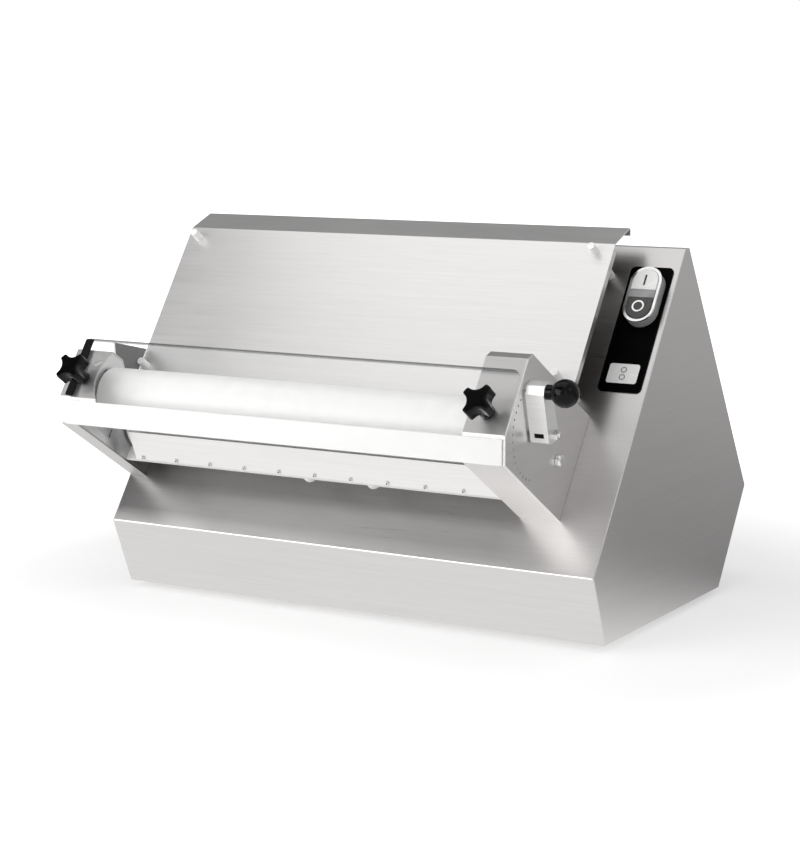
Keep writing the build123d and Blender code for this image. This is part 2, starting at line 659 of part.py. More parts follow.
with BuildPart() as front_strip:
    with BuildSketch(Plane.XZ.offset(-HEAD_FRONT_Y)) as strip_face:
        with Locations(((HEAD_LEFT + HEAD_RIGHT) / 2, (HEAD_FRONT_LOW_Z + STRIP_TOP_Z) / 2)):
            Rectangle(HEAD_RIGHT - HEAD_LEFT - 2 * STRIP_INSET, STRIP_TOP_Z - HEAD_FRONT_LOW_Z)
        fillet(strip_face.vertices().group_by(Axis.Z)[0].sort_by(Axis.X)[0], radius=10)
    extrude(amount=2)
front_strip.part.label = "front_strip"
export_step(front_strip.part, "parts/front_strip.step")

# === Scrapers =====================================================================================
PANEL_START = -275.0
PANEL_END = RIGHT_FRAME_X - GAP
PANEL_LOW = (59.5, 43.5)
PANEL_TOP = (81.0, 79.5)
PANEL_RETURN = (76.0, 43.5)
SMALL_SCREWS = 10
SMALL_SCREW_PITCH = 47.4
SMALL_SCREW_FIRST = -264.0
SMALL_SCREW_UP = 7.5


def panel_face(lift=0.0):
    """Plane on the panel's front face: its x is world X, its y runs up that face from the low edge."""
    along = [b - a for a, b in zip(PANEL_LOW, PANEL_TOP)]
    length = hypot(*along)
    out = (-along[1] / length, along[0] / length)
    low_edge = [a + lift * n for a, n in zip(PANEL_LOW, out)]
    normal = [out[0] * u + out[1] * n for u, n in zip(UP_SLOPE, OUT_OF_SLOPE)]
    return Plane(origin=(0, *to_world(*low_edge)), x_dir=(1, 0, 0), z_dir=normal)


SMALL_SCREW_PLACES = [
    (SMALL_SCREW_FIRST + i * SMALL_SCREW_PITCH, SMALL_SCREW_UP) for i in range(SMALL_SCREWS)
]

with BuildPart() as scraper_panel:
    with BuildSketch(section(PANEL_START)):
        with BuildLine():
            FilletPolyline(PANEL_RETURN, PANEL_LOW, PANEL_TOP, radius=BEND)
            offset(amount=SHEET, side=Side.RIGHT)
        make_face()
    extrude(amount=PANEL_END - PANEL_START)
    with BuildSketch(panel_face(-4)):
        with Locations(*SMALL_SCREW_PLACES):
            Circle(1.7)
    extrude(amount=6, mode=Mode.SUBTRACT)
scraper_panel.part.label = "scraper_panel"
export_step(scraper_panel.part, "parts/scraper_panel.step")

with BuildPart() as scraper_screws:
    with BuildSketch(panel_face(-6)):
        with Locations(*SMALL_SCREW_PLACES):
            Circle(1.5)
    extrude(amount=6)
    with BuildSketch(panel_face()):
        with Locations(*SMALL_SCREW_PLACES):
            Circle(2.8)
    extrude(amount=1.8, taper=20)
    with BuildSketch(panel_face(0.8)):
        with Locations(*SMALL_SCREW_PLACES):
            RegularPolygon(radius=1.1, side_count=6)
    extrude(amount=2, mode=Mode.SUBTRACT)
scraper_screws.part.label = "scraper_screws"
export_step(scraper_screws.part, "parts/scraper_screws.step")

BLADE_H = (40.4, 43.4)

with BuildPart() as rear_scraper_blade:
    slab(
        [
            (62, BLADE_H[0]),
            (79.2, BLADE_H[0] + 1),
            (79.2, BLADE_H[0] + 1.6),
            (77, BLADE_H[1]),
            (62, BLADE_H[1]),
        ],
        LEFT_FRAME_X + FRAME_PLATE,
        RIGHT_FRAME_X,
    )
rear_scraper_blade.part.label = "rear_scraper_blade"
export_step(rear_scraper_blade.part, "parts/rear_scraper_blade.step")

with BuildPart() as panel_discs:
    with BuildSketch(over_slope(BLADE_H[0] - 7.1)):
        with Locations((-41.7, 70), (41.7, 70)):
            Circle(9)
    extrude(amount=7)
    fillet(panel_discs.edges().group_by(Axis.Z)[0].filter_by(GeomType.CIRCLE), radius=1.0)
panel_discs.part.label = "panel_discs"
export_step(panel_discs.part, "parts/panel_discs.step")

# === Rear roller, turned by the belt ==============================================================
AXLE_START = GEAR_START - 0.5
BUSH_FLANGE = 1.5


def bush_pair(axis, radius, flange):
    """A plain bush in each frame plate's line, with a flange of some depth on the plates' outer sides."""
    left, right = LEFT_FRAME_X, RIGHT_FRAME_X + FRAME_PLATE
    with BuildPart() as bushes:
        disc(left, left + FRAME_PLATE, axis, radius)
        disc(right - FRAME_PLATE, right, axis, radius)
        if flange:
            disc(left - flange, left, axis, radius + 3)
            disc(right, right + flange, axis, radius + 3)
        disc(left - flange, right + flange, axis, AXLE_RADIUS + RUNNING_FIT, Mode.SUBTRACT)
    return bushes


rear_bushes = bush_pair(REAR_AXIS, REAR_BUSH_RADIUS, BUSH_FLANGE)
rear_bushes.part.label = "rear_bushes"
export_step(rear_bushes.part, "parts/rear_bushes.step")


def roller(axis):
    """White plastic roller sleeve with eased ends."""
    with BuildPart() as sleeve:
        disc(ROLLER_START, ROLLER_END, axis, ROLLER_RADIUS)
        fillet(sleeve.edges().filter_by(GeomType.CIRCLE), radius=2.0)
        disc(ROLLER_START, ROLLER_END, axis, AXLE_RADIUS + PRESS_FIT, Mode.SUBTRACT)
    return sleeve


def gear(axis, first_tooth):
    """Spur gear with thin teeth, which stay in mesh while the centres move apart."""
    root = GEAR_MODULE * (GEAR_TEETH / 2 - 1.25)
    tip = GEAR_MODULE * (GEAR_TEETH / 2 + 1)
    tooth = [(root - 1, -4.0), (tip - 3, -2.1), (tip, -1.2), (tip, 1.2), (tip - 3, 2.1), (root - 1, 4.0)]
    with BuildPart() as wheel:
        with BuildSketch(section(GEAR_START)):
            with Locations(axis):
                Circle(root)
                with PolarLocations(0, GEAR_TEETH, start_angle=first_tooth):
                    Polygon(*tooth, align=None)
                Circle(AXLE_RADIUS + PRESS_FIT, mode=Mode.SUBTRACT)
        extrude(amount=GEAR_WIDTH)
    return wheel


rear_roller = roller(REAR_AXIS)
rear_roller.part.label = "rear_roller"
export_step(rear_roller.part, "parts/rear_roller.step")

rear_gear = gear(REAR_AXIS, 90)
rear_gear.part.label = "rear_gear"
export_step(rear_gear.part, "parts/rear_gear.step")

CAP_NUT_RADIUS = 7.0
CAP_NUT_LENGTH = 6.0

with BuildPart() as rear_axle:
    disc(AXLE_START, PULLEY_START + PULLEY_WIDTH, REAR_AXIS, AXLE_RADIUS)
    disc(PULLEY_START + PULLEY_WIDTH, HEAD_RIGHT + GAP, REAR_AXIS, REAR_STUB_RADIUS)
    disc(HEAD_RIGHT + GAP, HEAD_RIGHT + GAP + CAP_NUT_LENGTH, REAR_AXIS, CAP_NUT_RADIUS)
    fillet(rear_axle.faces().sort_by(Axis.X)[-1].edges(), radius=3.0)
rear_axle.part.label = "rear_axle"
export_step(rear_axle.part, "parts/rear_axle.step")

# === Front roller and the carriage that carries it ================================================
CAM_PIN_RADIUS = 3.0
CAM_PIN_PLACE = (PIVOT[0], PIVOT[1] + CAM_RADIUS)


def bearing_block(start):
    """Block that slides in a frame plate's window, bored for a front bush."""
    with BuildPart() as block:
        with BuildSketch(section(start)):
            with Locations((sum(BLOCK_S) / 2, sum(BLOCK_H) / 2)):
                Rectangle(BLOCK_S[1] - BLOCK_S[0], BLOCK_H[1] - BLOCK_H[0])
            with Locations(FRONT_AXIS):
                Circle(BUSH_RADIUS + PRESS_FIT, mode=Mode.SUBTRACT)
        extrude(amount=FRAME_PLATE)
    return block


left_bearing_block = bearing_block(LEFT_FRAME_X)
left_bearing_block.part.label = "left_bearing_block"
export_step(left_bearing_block.part, "parts/left_bearing_block.step")

with BuildPart() as right_bearing_block:
    add(bearing_block(RIGHT_FRAME_X).part)
    disc(RIGHT_FRAME_X + FRAME_PLATE / 2, CAM_START + CAM_WIDTH - GAP, CAM_PIN_PLACE, CAM_PIN_RADIUS)
    disc(RIGHT_FRAME_X, RIGHT_FRAME_X + FRAME_PLATE, FRONT_AXIS, BUSH_RADIUS + PRESS_FIT, Mode.SUBTRACT)
right_bearing_block.part.label = "right_bearing_block"
export_step(right_bearing_block.part, "parts/right_bearing_block.step")

front_bushes = bush_pair(FRONT_AXIS, BUSH_RADIUS, 0)
front_bushes.part.label = "front_bushes"
export_step(front_bushes.part, "parts/front_bushes.step")

with BuildPart() as front_scraper:
    slab(
        [(69.5, 117.5), (79.9, 117.5), (79.9, 118.5), (78.5, 120), (78.5, 129), (69.5, 129)],
        LEFT_FRAME_X + FRAME_PLATE,
        RIGHT_FRAME_X,
    )
front_scraper.part.label = "front_scraper"
export_step(front_scraper.part, "parts/front_scraper.step")

front_roller = roller(FRONT_AXIS)
front_roller.part.label = "front_roller"
export_step(front_roller.part, "parts/front_roller.step")

front_gear = gear(FRONT_AXIS, 270 + 180 / GEAR_TEETH)
front_gear.part.label = "front_gear"
export_step(front_gear.part, "parts/front_gear.step")

with BuildPart() as front_axle:
    disc(AXLE_START, RIGHT_FRAME_X + FRAME_PLATE + BUSH_FLANGE, FRONT_AXIS, AXLE_RADIUS)
front_axle.part.label = "front_axle"
export_step(front_axle.part, "parts/front_axle.step")

# === Thickness lever ==============================================================================
SCROLL_HALF_WIDTH = CAM_PIN_RADIUS + GAP
SCROLL_PAD = 3.0


def scroll_point(lever_angle, aside=0.0):
    """Point of the cam's scroll slot that meets the block's pin when the lever stands at an angle."""
    radius = CAM_RADIUS + CAM_RISE_PER_TURN * lever_angle / 360 + aside
    around = radians(90 - lever_angle)
    return PIVOT[0] + radius * cos(around), PIVOT[1] + radius * sin(around)


def scroll_edge(aside):
    """Points along one side of the slot, a little past both ends of the lever's travel."""
    first, last = -LEVER_BACK - SCROLL_PAD, LEVER_FORWARD + SCROLL_PAD
    steps = 18
    return [scroll_point(first + (last - first) * i / steps, aside) for i in range(steps + 1)]


with BuildPart() as scroll_cam:
    disc(CAM_START, CAM_START + CAM_WIDTH, PIVOT, 26)
    disc(CAM_START, CAM_START + CAM_WIDTH, PIVOT, SHAFT_LEVER_RADIUS + PRESS_FIT, Mode.SUBTRACT)
    with BuildSketch(section(CAM_START)):
        with BuildLine():
            outer = Spline(*scroll_edge(SCROLL_HALF_WIDTH))
            inner = Spline(*scroll_edge(-SCROLL_HALF_WIDTH))
            Line(outer @ 0, inner @ 0)
            Line(outer @ 1, inner @ 1)
        make_face()
        with Locations(scroll_point(-LEVER_BACK - SCROLL_PAD), scroll_point(LEVER_FORWARD + SCROLL_PAD)):
            Circle(SCROLL_HALF_WIDTH)
    extrude(amount=CAM_WIDTH, mode=Mode.SUBTRACT)
scroll_cam.part.label = "scroll_cam"
export_step(scroll_cam.part, "parts/scroll_cam.step")

NUT_STUD_RADIUS = 3.0
SHAFT_NECK_RADIUS = 4.0

with BuildPart() as lever_shaft:
    disc(CAM_START, BRACKET_IN - GAP, PIVOT, SHAFT_LEVER_RADIUS)
    disc(BRACKET_IN - GAP, BRACKET_OUT - BRACKET_SHEET, PIVOT, SHAFT_NECK_RADIUS)
    disc(BRACKET_OUT - BRACKET_SHEET, BRACKET_OUT + 7, PIVOT, NUT_STUD_RADIUS)
    with BuildSketch(section(BRACKET_OUT)):
        with Locations(PIVOT):
            RegularPolygon(radius=5.0, side_count=6, major_radius=False)
    extrude(amount=5)
    chamfer(lever_shaft.faces().sort_by(Axis.X)[-1].edges(), length=0.6)
lever_shaft.part.label = "lever_shaft"
export_step(lever_shaft.part, "parts/lever_shaft.step")

# The bracket's folded edge runs from its foot up the front and over the top.
BRACKET_PATH = [(-9, -9), (-6.5, 9.5), (-2.5, 15), (50.7, 8.4), (57.8, 1.7), (56.5, -10.5)]
BRACKET_SLOT = (11.0, 5.0)
BRACKET_SLOT_IN = 5.0
BRACKET_SLOT_PLACE = (5.0, 12.0)
PIN_RADIUS = 1.2

with BuildPart() as lever_bracket:
    with BuildSketch(along_arm(BRACKET_IN)):
        with BuildLine():
            FilletPolyline(*BRACKET_PATH, radius=2.2)
            offset(amount=BRACKET_SHEET, side=Side.RIGHT)
        make_face()
    extrude(amount=BRACKET_OUT - BRACKET_IN)
    with BuildSketch(along_arm(BRACKET_OUT - BRACKET_SHEET)):
        with BuildLine():
            wall = FilletPolyline(*BRACKET_PATH, radius=2.2)
            Line(wall @ 1, wall @ 0)
        make_face()
    extrude(amount=BRACKET_SHEET)
    with BuildSketch(along_arm(BRACKET_OUT - BRACKET_SHEET)):
        Circle(NUT_STUD_RADIUS + PRESS_FIT)
        with Locations((INDEX_RADIUS, 0)):
            Circle(PIN_RADIUS + 0.2)
    extrude(amount=BRACKET_SHEET, mode=Mode.SUBTRACT)
    with BuildSketch(along_arm(BRACKET_OUT - BRACKET_SLOT_IN - BRACKET_SLOT[0])):
        with Locations(BRACKET_SLOT_PLACE):
            Rectangle(BRACKET_SLOT[1], 10)
    extrude(amount=BRACKET_SLOT[0], mode=Mode.SUBTRACT)
lever_bracket.part.label = "lever_bracket"
export_step(lever_bracket.part, "parts/lever_bracket.step")

PIN_TIP = HEAD_RIGHT + GAP
KNOB_NECK_RADIUS = 8.0
PIN_END = 298.0

with BuildPart() as index_knob:
    with BuildSketch(at_index_pin(BRACKET_OUT + GAP)):
        Circle(KNOB_NECK_RADIUS)
    extrude(amount=8)
    with Locations(at_index_pin(BALL_X)):
        Sphere(BALL_RADIUS)
    with BuildSketch(at_index_pin(BRACKET_OUT + GAP)):
        Circle(PIN_RADIUS + PRESS_FIT)
    extrude(amount=PIN_END - BRACKET_OUT, mode=Mode.SUBTRACT)
index_knob.part.label = "index_knob"
export_step(index_knob.part, "parts/index_knob.step")

with BuildPart() as index_pin:
    with BuildSketch(at_index_pin(PIN_TIP)):
        Circle(PIN_RADIUS)
    extrude(amount=PIN_END - PIN_TIP)
    chamfer(index_pin.faces().sort_by(Axis.X)[0].edges(), length=0.4)
index_pin.part.label = "index_pin"
export_step(index_pin.part, "parts/index_pin.step")

# === Feed side: chute and guard ===================================================================
CHUTE_FLANGE_END = (57.0, 441.5)
CHUTE_HEM = 10.0
CHUTE_TONGUE_S = 149.0
CHUTE_NOTCH_S = 188.0
CHUTE_RIM = 7.0
CHUTE_UNDER = CHUTE_H - SHEET
POST_PLACES = [(-307.0, 181.0), (-300.0, 361.0), (CHUTE_RIGHT - 21, 206.0), (CHUTE_RIGHT - 22, 364.0)]
POST_RADIUS = 5.0
POST_STEM = 2.5
CAP_HEIGHT = 13.0

with BuildPart() as chute_plate:
    with BuildSketch(Plane.YZ.offset(BODY_LEFT)):
        with BuildLine():
            hem_end = (CHUTE_FLANGE_END[0], CHUTE_FLANGE_END[1] - CHUTE_HEM)
            chute_points = [to_world(CHUTE_LOW_S, CHUTE_H), to_world(CHUTE_TOP_S, CHUTE_H)]
            FilletPolyline(*chute_points, CHUTE_FLANGE_END, hem_end, radius=BEND)
            offset(amount=SHEET, side=Side.RIGHT)
        make_face()
    extrude(amount=CHUTE_RIGHT - BODY_LEFT)
    with BuildSketch(over_slope(CHUTE_UNDER)):
        with Locations(((ROLLER_START + ROLLER_END) / 2, (CHUTE_TONGUE_S + CHUTE_LOW_S) / 2 + 1)):
            Rectangle(ROLLER_END - ROLLER_START, CHUTE_LOW_S - CHUTE_TONGUE_S + 2)
    extrude(amount=SHEET)
    with BuildSketch(over_slope(CHUTE_UNDER - CHUTE_RIM)):
        with Locations((CHUTE_RIGHT - SHEET / 2, CHUTE_NOTCH_S + 3)):
            Rectangle(SHEET, CHUTE_TOP_S - CHUTE_NOTCH_S - 8, align=(Align.CENTER, Align.MIN))
    extrude(amount=CHUTE_RIM + SHEET)
    with BuildSketch(over_slope(CHUTE_UNDER)):
        with Locations(*POST_PLACES):
            Circle(POST_STEM + 0.2)
        with Locations((ROLLER_END, CHUTE_NOTCH_S)):
            Rectangle(60, 20, align=(Align.MIN, Align.MAX))
    extrude(amount=SHEET, mode=Mode.SUBTRACT)
    chamfer(chute_plate.faces().sort_by(Axis.X)[-1].edges(), length=0.4)
chute_plate.part.label = "chute_plate"
export_step(chute_plate.part, "parts/chute_plate.step")

with BuildPart() as chute_standoffs:
    with BuildSketch(over_slope()):
        with Locations(*POST_PLACES):
            Circle(POST_RADIUS)
    extrude(amount=CHUTE_UNDER)
    with BuildSketch(over_slope(CHUTE_UNDER - 12)):
        with Locations(*POST_PLACES):
            Circle(POST_STEM + 0.2)
    extrude(amount=12, mode=Mode.SUBTRACT)
    with BuildSketch(over_slope(CHUTE_H)):
        with Locations(*POST_PLACES):
            Circle(POST_RADIUS)
    extrude(amount=CAP_HEIGHT, taper=3)
    with BuildSketch(over_slope(CHUTE_H - 12)):
        with Locations(*POST_PLACES):
            Circle(POST_STEM)
    extrude(amount=12)
chute_standoffs.part.label = "chute_standoffs"
export_step(chute_standoffs.part, "parts/chute_standoffs.step")

GUARD_SHEET = 3.0
GUARD_START = HEAD_LEFT + 6.0
GUARD_END = HEAD_RIGHT - 3.0
GUARD_H = HEAD_TOP + GAP
GUARD_TOP_S = 153.0
GUARD_FRONT_Y = HEAD_FRONT_Y - 2.0 - 0.5
GUARD_LOW_Z = HEAD_FRONT_LOW_Z - 0.4
GUARD_CORNER = 11.0
GUARD_CORNER_RIGHT = 3.0
GUARD_CORNER_TOP = 9.0

with BuildPart() as guard:
    with BuildSketch(Plane.YZ.offset(GUARD_START)):
        with BuildLine():
            bend_z = LIP_TOP[1] + (GUARD_H + (GUARD_FRONT_Y - LIP_TOP[0]) * SLOPE_SIN) / SLOPE_COS
            guard_front = [(GUARD_FRONT_Y, GUARD_LOW_Z), (GUARD_FRONT_Y, bend_z)]
            guard_points = [*guard_front, to_world(GUARD_TOP_S, GUARD_H)]
            FilletPolyline(*guard_points, radius=1.0)
            offset(amount=GUARD_SHEET, side=Side.LEFT)
        make_face()
    extrude(amount=GUARD_END - GUARD_START)
    low_corners = guard.edges().filter_by(Axis.Y).group_by(Axis.Z)[0].sort_by(Axis.X)
    fillet(low_corners[0], radius=GUARD_CORNER)
    fillet(low_corners[-1], radius=GUARD_CORNER_RIGHT)
    top_corners = guard.edges().filter_by(Axis((0, 0, 0), OUT_OF_SLOPE)).group_by(Axis.Y)[-1]
    fillet(top_corners, radius=GUARD_CORNER_TOP)
    with BuildSketch(over_slope(GUARD_H)):
        with Locations((LEFT_STUD_X, STUD_S), (RIGHT_STUD_X, STUD_S)):
            Circle(STUD_RADIUS + STUD_CLEARANCE)
    extrude(amount=GUARD_SHEET, mode=Mode.SUBTRACT)
guard.part.label = "guard"
export_step(guard.part, "parts/guard.step")

KNOB_RADIUS = 18.5
KNOB_LOBES = 4
KNOB_CUT_RADIUS = 12.0
KNOB_CUT_OUT = 4.5
KNOB_NECK = 8.5
KNOB_LOW = GUARD_H + GUARD_SHEET + GAP
KNOB_HUB = 15.0
KNOB_HEIGHT = 15.5
STUD_END_H = 150.0


def star_knob(stud_x, turn):
    """Four-lobed knob on a steel stud that hangs through the guard into the head's nut."""
    with BuildPart() as knob:
        with BuildSketch(over_slope(KNOB_LOW + KNOB_HUB)) as star:
            with Locations((stud_x, STUD_S)):
                Circle(KNOB_RADIUS)
                with PolarLocations(KNOB_RADIUS + KNOB_CUT_OUT, KNOB_LOBES, start_angle=turn + 45):
                    Circle(KNOB_CUT_RADIUS, mode=Mode.SUBTRACT)
            fillet(star.vertices(), radius=2.5)
        extrude(amount=KNOB_HEIGHT)
        fillet(knob.faces().sort_by(Axis((0, 0, 0), OUT_OF_SLOPE))[-1].edges(), radius=1.8)
        with BuildSketch(over_slope(KNOB_LOW)):
            with Locations((stud_x, STUD_S)):
                Circle(KNOB_NECK)
        extrude(amount=KNOB_HUB)
        with BuildSketch(over_slope(STUD_END_H)):
            with Locations((stud_x, STUD_S)):
                Circle(STUD_RADIUS)
        extrude(amount=KNOB_LOW - STUD_END_H)
    return knob


left_star_knob = star_knob(LEFT_STUD_X, 50)
left_star_knob.part.label = "left_star_knob"
export_step(left_star_knob.part, "parts/left_star_knob.step")

right_star_knob = star_knob(RIGHT_STUD_X, 60)
right_star_knob.part.label = "right_star_knob"
export_step(right_star_knob.part, "parts/right_star_knob.step")

GUARD_SWITCH_PLACE = (231.0, 153.0)
GUARD_SWITCH_SIZE = (18.0, 20.0)
GUARD_SWITCH_LOW = 150.0

with BuildPart() as guard_switch:
    with BuildSketch(over_slope(GUARD_SWITCH_LOW)):
        with Locations(GUARD_SWITCH_PLACE):
            Rectangle(*GUARD_SWITCH_SIZE)
    extrude(amount=HEAD_TOP - SHEET - GUARD_SWITCH_LOW)
guard_switch.part.label = "guard_switch"
export_step(guard_switch.part, "parts/guard_switch.step")

# === Controls =====================================================================================
CONTROL_S = (219.6, 377.0)
CONTROL_X = (257.3, 308.5)
SWITCH_LENGTH = 69.5
SWITCH_WIDTH = 37.0
SWITCH_WALL = 3.0
POCKET_FLOOR = 6.0
BODY_TOP = 13.0
RING_TOP = 15.0
BUTTON_LOW = POCKET_FLOOR + BUTTON_TRAVEL + 0.5
BUTTON_TOP = 17.0
LENS_HALF = 4.6

with BuildPart() as control_plate:
    with BuildSketch(over_slope()) as plate_face:
        with Locations((sum(CONTROL_X) / 2, sum(CONTROL_S) / 2)):
            RectangleRounded(CONTROL_X[1] - CONTROL_X[0], CONTROL_S[1] - CONTROL_S[0], 6)
        with Locations((SWITCH_X, SWITCH_S)):
            Circle(SWITCH_HOLE_RADIUS, mode=Mode.SUBTRACT)
    extrude(amount=SHEET)
control_plate.part.label = "control_plate"
export_step(control_plate.part, "parts/control_plate.step")


def stadium(height, inset, amount, mode=Mode.ADD):
    """Long round-ended prism of the switch, shrunk by an inset, joined to the part being built."""
    with BuildSketch(over_slope(height)) as shape:
        with Locations((SWITCH_X, SWITCH_S)):
            SlotOverall(SWITCH_LENGTH - 2 * inset, SWITCH_WIDTH - 2 * inset, rotation=90)
    extrude(shape.sketch, amount=amount, mode=mode)


with BuildPart() as switch_body:
    stadium(SHEET, 0, BODY_TOP - SHEET)
    stadium(POCKET_FLOOR, SWITCH_WALL, BODY_TOP - POCKET_FLOOR, Mode.SUBTRACT)
    with BuildSketch(over_slope(-8)):
        with Locations((SWITCH_X, SWITCH_S)):
            Circle(SWITCH_HOLE_RADIUS - 0.25)
    extrude(amount=8 + SHEET)
switch_body.part.label = "switch_body"
export_step(switch_body.part, "parts/switch_body.step")

with BuildPart() as switch_ring:
    stadium(BODY_TOP, 0, RING_TOP - BODY_TOP)
    stadium(BODY_TOP, SWITCH_WALL, RING_TOP - BODY_TOP, Mode.SUBTRACT)
switch_ring.part.label = "switch_ring"
export_step(switch_ring.part, "parts/switch_ring.step")


def button(side):
    """Half of the switch's face: the upper half for start, the lower half for stop."""
    with BuildPart() as cap:
        stadium(BUTTON_LOW, SWITCH_WALL + 0.4, BUTTON_TOP - BUTTON_LOW)
        with BuildSketch(over_slope(BUTTON_LOW)):
            with Locations((SWITCH_X, SWITCH_S + side * (LENS_HALF + 0.4))):
                half = Align.MIN if side > 0 else Align.MAX
                Rectangle(SWITCH_WIDTH, SWITCH_LENGTH, align=(Align.CENTER, half))
        extrude(amount=BUTTON_TOP - BUTTON_LOW, mode=Mode.INTERSECT)
        fillet(cap.faces().sort_by(Axis((0, 0, 0), OUT_OF_SLOPE))[-1].edges(), radius=1.2)
    return cap


start_button = button(1)
start_button.part.label = "start_button"
export_step(start_button.part, "parts/start_button.step")

stop_button = button(-1)
stop_button.part.label = "stop_button"
export_step(stop_button.part, "parts/stop_button.step")

with BuildPart() as indicator_lens:
    with BuildSketch(over_slope(POCKET_FLOOR)):
        with Locations((SWITCH_X, SWITCH_S)):
            Rectangle(SWITCH_WIDTH - 2 * SWITCH_WALL - 0.8, 2 * LENS_HALF)
    extrude(amount=BUTTON_TOP - POCKET_FLOOR - 1)
indicator_lens.part.label = "indicator_lens"
export_step(indicator_lens.part, "parts/indicator_lens.step")

with BuildPart() as contact_block:
    with BuildSketch(over_slope(-2)):
        with Locations((SWITCH_X, SWITCH_S)):
            Rectangle(36, 52)
            Circle(SWITCH_HOLE_RADIUS, mode=Mode.SUBTRACT)
    extrude(amount=-6)
    with BuildSketch(over_slope(-8)):
        with Locations((SWITCH_X, SWITCH_S)):
            Rectangle(36, 52)
    extrude(amount=-32)
contact_block.part.label = "contact_block"
export_step(contact_block.part, "parts/contact_block.step")
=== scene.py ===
"""Looks for a bench-top dough sheeter: materials, small surface details, floor, lights and camera.

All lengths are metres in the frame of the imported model: X to the right along the rollers, Y to the
back, Z up, floor at Z 0.  s runs up the body's slope from the lip's bend and h stands out of it.
"""
import bmesh
import bpy
from math import cos, hypot, pi, radians, sin
from mathutils import Matrix, Vector


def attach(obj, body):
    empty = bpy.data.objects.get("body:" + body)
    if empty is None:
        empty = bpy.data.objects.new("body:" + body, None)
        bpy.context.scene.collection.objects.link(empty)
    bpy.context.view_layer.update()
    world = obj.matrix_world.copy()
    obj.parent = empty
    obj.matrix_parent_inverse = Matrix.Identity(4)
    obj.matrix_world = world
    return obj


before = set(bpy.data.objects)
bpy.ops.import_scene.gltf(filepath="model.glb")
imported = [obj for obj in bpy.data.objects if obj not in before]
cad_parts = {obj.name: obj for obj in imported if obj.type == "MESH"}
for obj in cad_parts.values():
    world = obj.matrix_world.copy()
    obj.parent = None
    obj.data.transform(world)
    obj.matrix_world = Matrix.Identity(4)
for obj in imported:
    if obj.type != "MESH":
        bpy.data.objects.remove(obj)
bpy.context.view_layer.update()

# --- Frames of reference --------------------------------------------------------------------------
LIP_TOP = (-0.155, 0.087)
APEX = (0.0755, 0.4185)
SLOPE_LENGTH = hypot(APEX[0] - LIP_TOP[0], APEX[1] - LIP_TOP[1])
SLOPE_COS = (APEX[0] - LIP_TOP[0]) / SLOPE_LENGTH
SLOPE_SIN = (APEX[1] - LIP_TOP[1]) / SLOPE_LENGTH
# How far up the slope's direction the lip's bend lies, from the world's origin.
LIP_UP = LIP_TOP[0] * SLOPE_COS + LIP_TOP[1] * SLOPE_SIN
TO_SLOPE = Matrix((
    (1, 0, 0, 0),
    (0, SLOPE_COS, -SLOPE_SIN, LIP_TOP[0]),
    (0, SLOPE_SIN, SLOPE_COS, LIP_TOP[1]),
    (0, 0, 0, 1),
))

# --- Camera ---------------------------------------------------------------------------------------
CAMERA_PLACE = (1.2532, -2.1637, 0.5958)
CAMERA_TILT = radians(81.193)
CAMERA_YAW = radians(30.27)
CAMERA_LENS = 91.57
CAMERA_SENSOR = 36
CAMERA_SHIFT_UP = -0.0034
NEAREST, FARTHEST = 0.05, 60

camera = bpy.data.objects.new("camera", bpy.data.cameras.new("camera"))
bpy.context.scene.collection.objects.link(camera)
camera.location = CAMERA_PLACE
camera.rotation_euler = (CAMERA_TILT, 0, CAMERA_YAW)
camera.data.lens = CAMERA_LENS
camera.data.sensor_width = CAMERA_SENSOR
camera.data.shift_y = CAMERA_SHIFT_UP
camera.data.clip_start = NEAREST
camera.data.clip_end = FARTHEST
bpy.context.scene.camera = camera
bpy.context.scene.view_settings.view_transform = "Standard"


# --- Materials ------------------------------------------------------------------------------------
# The Mix node's colour sockets, which share their names with its other sockets.
MIX_FIRST, MIX_SECOND, MIX_RESULT = 6, 7, 2


def add_node(tree, kind, values=None, **settings):
    """New node with its settings, and with each input set to a value or linked to a socket."""
    made = tree.nodes.new(kind)
    for key, value in settings.items():
        setattr(made, key, value)
    for key, value in (values or {}).items():
        if isinstance(value, bpy.types.NodeSocket):
            tree.links.new(value, made.inputs[key])
        else:
            made.inputs[key].default_value = value
    return made


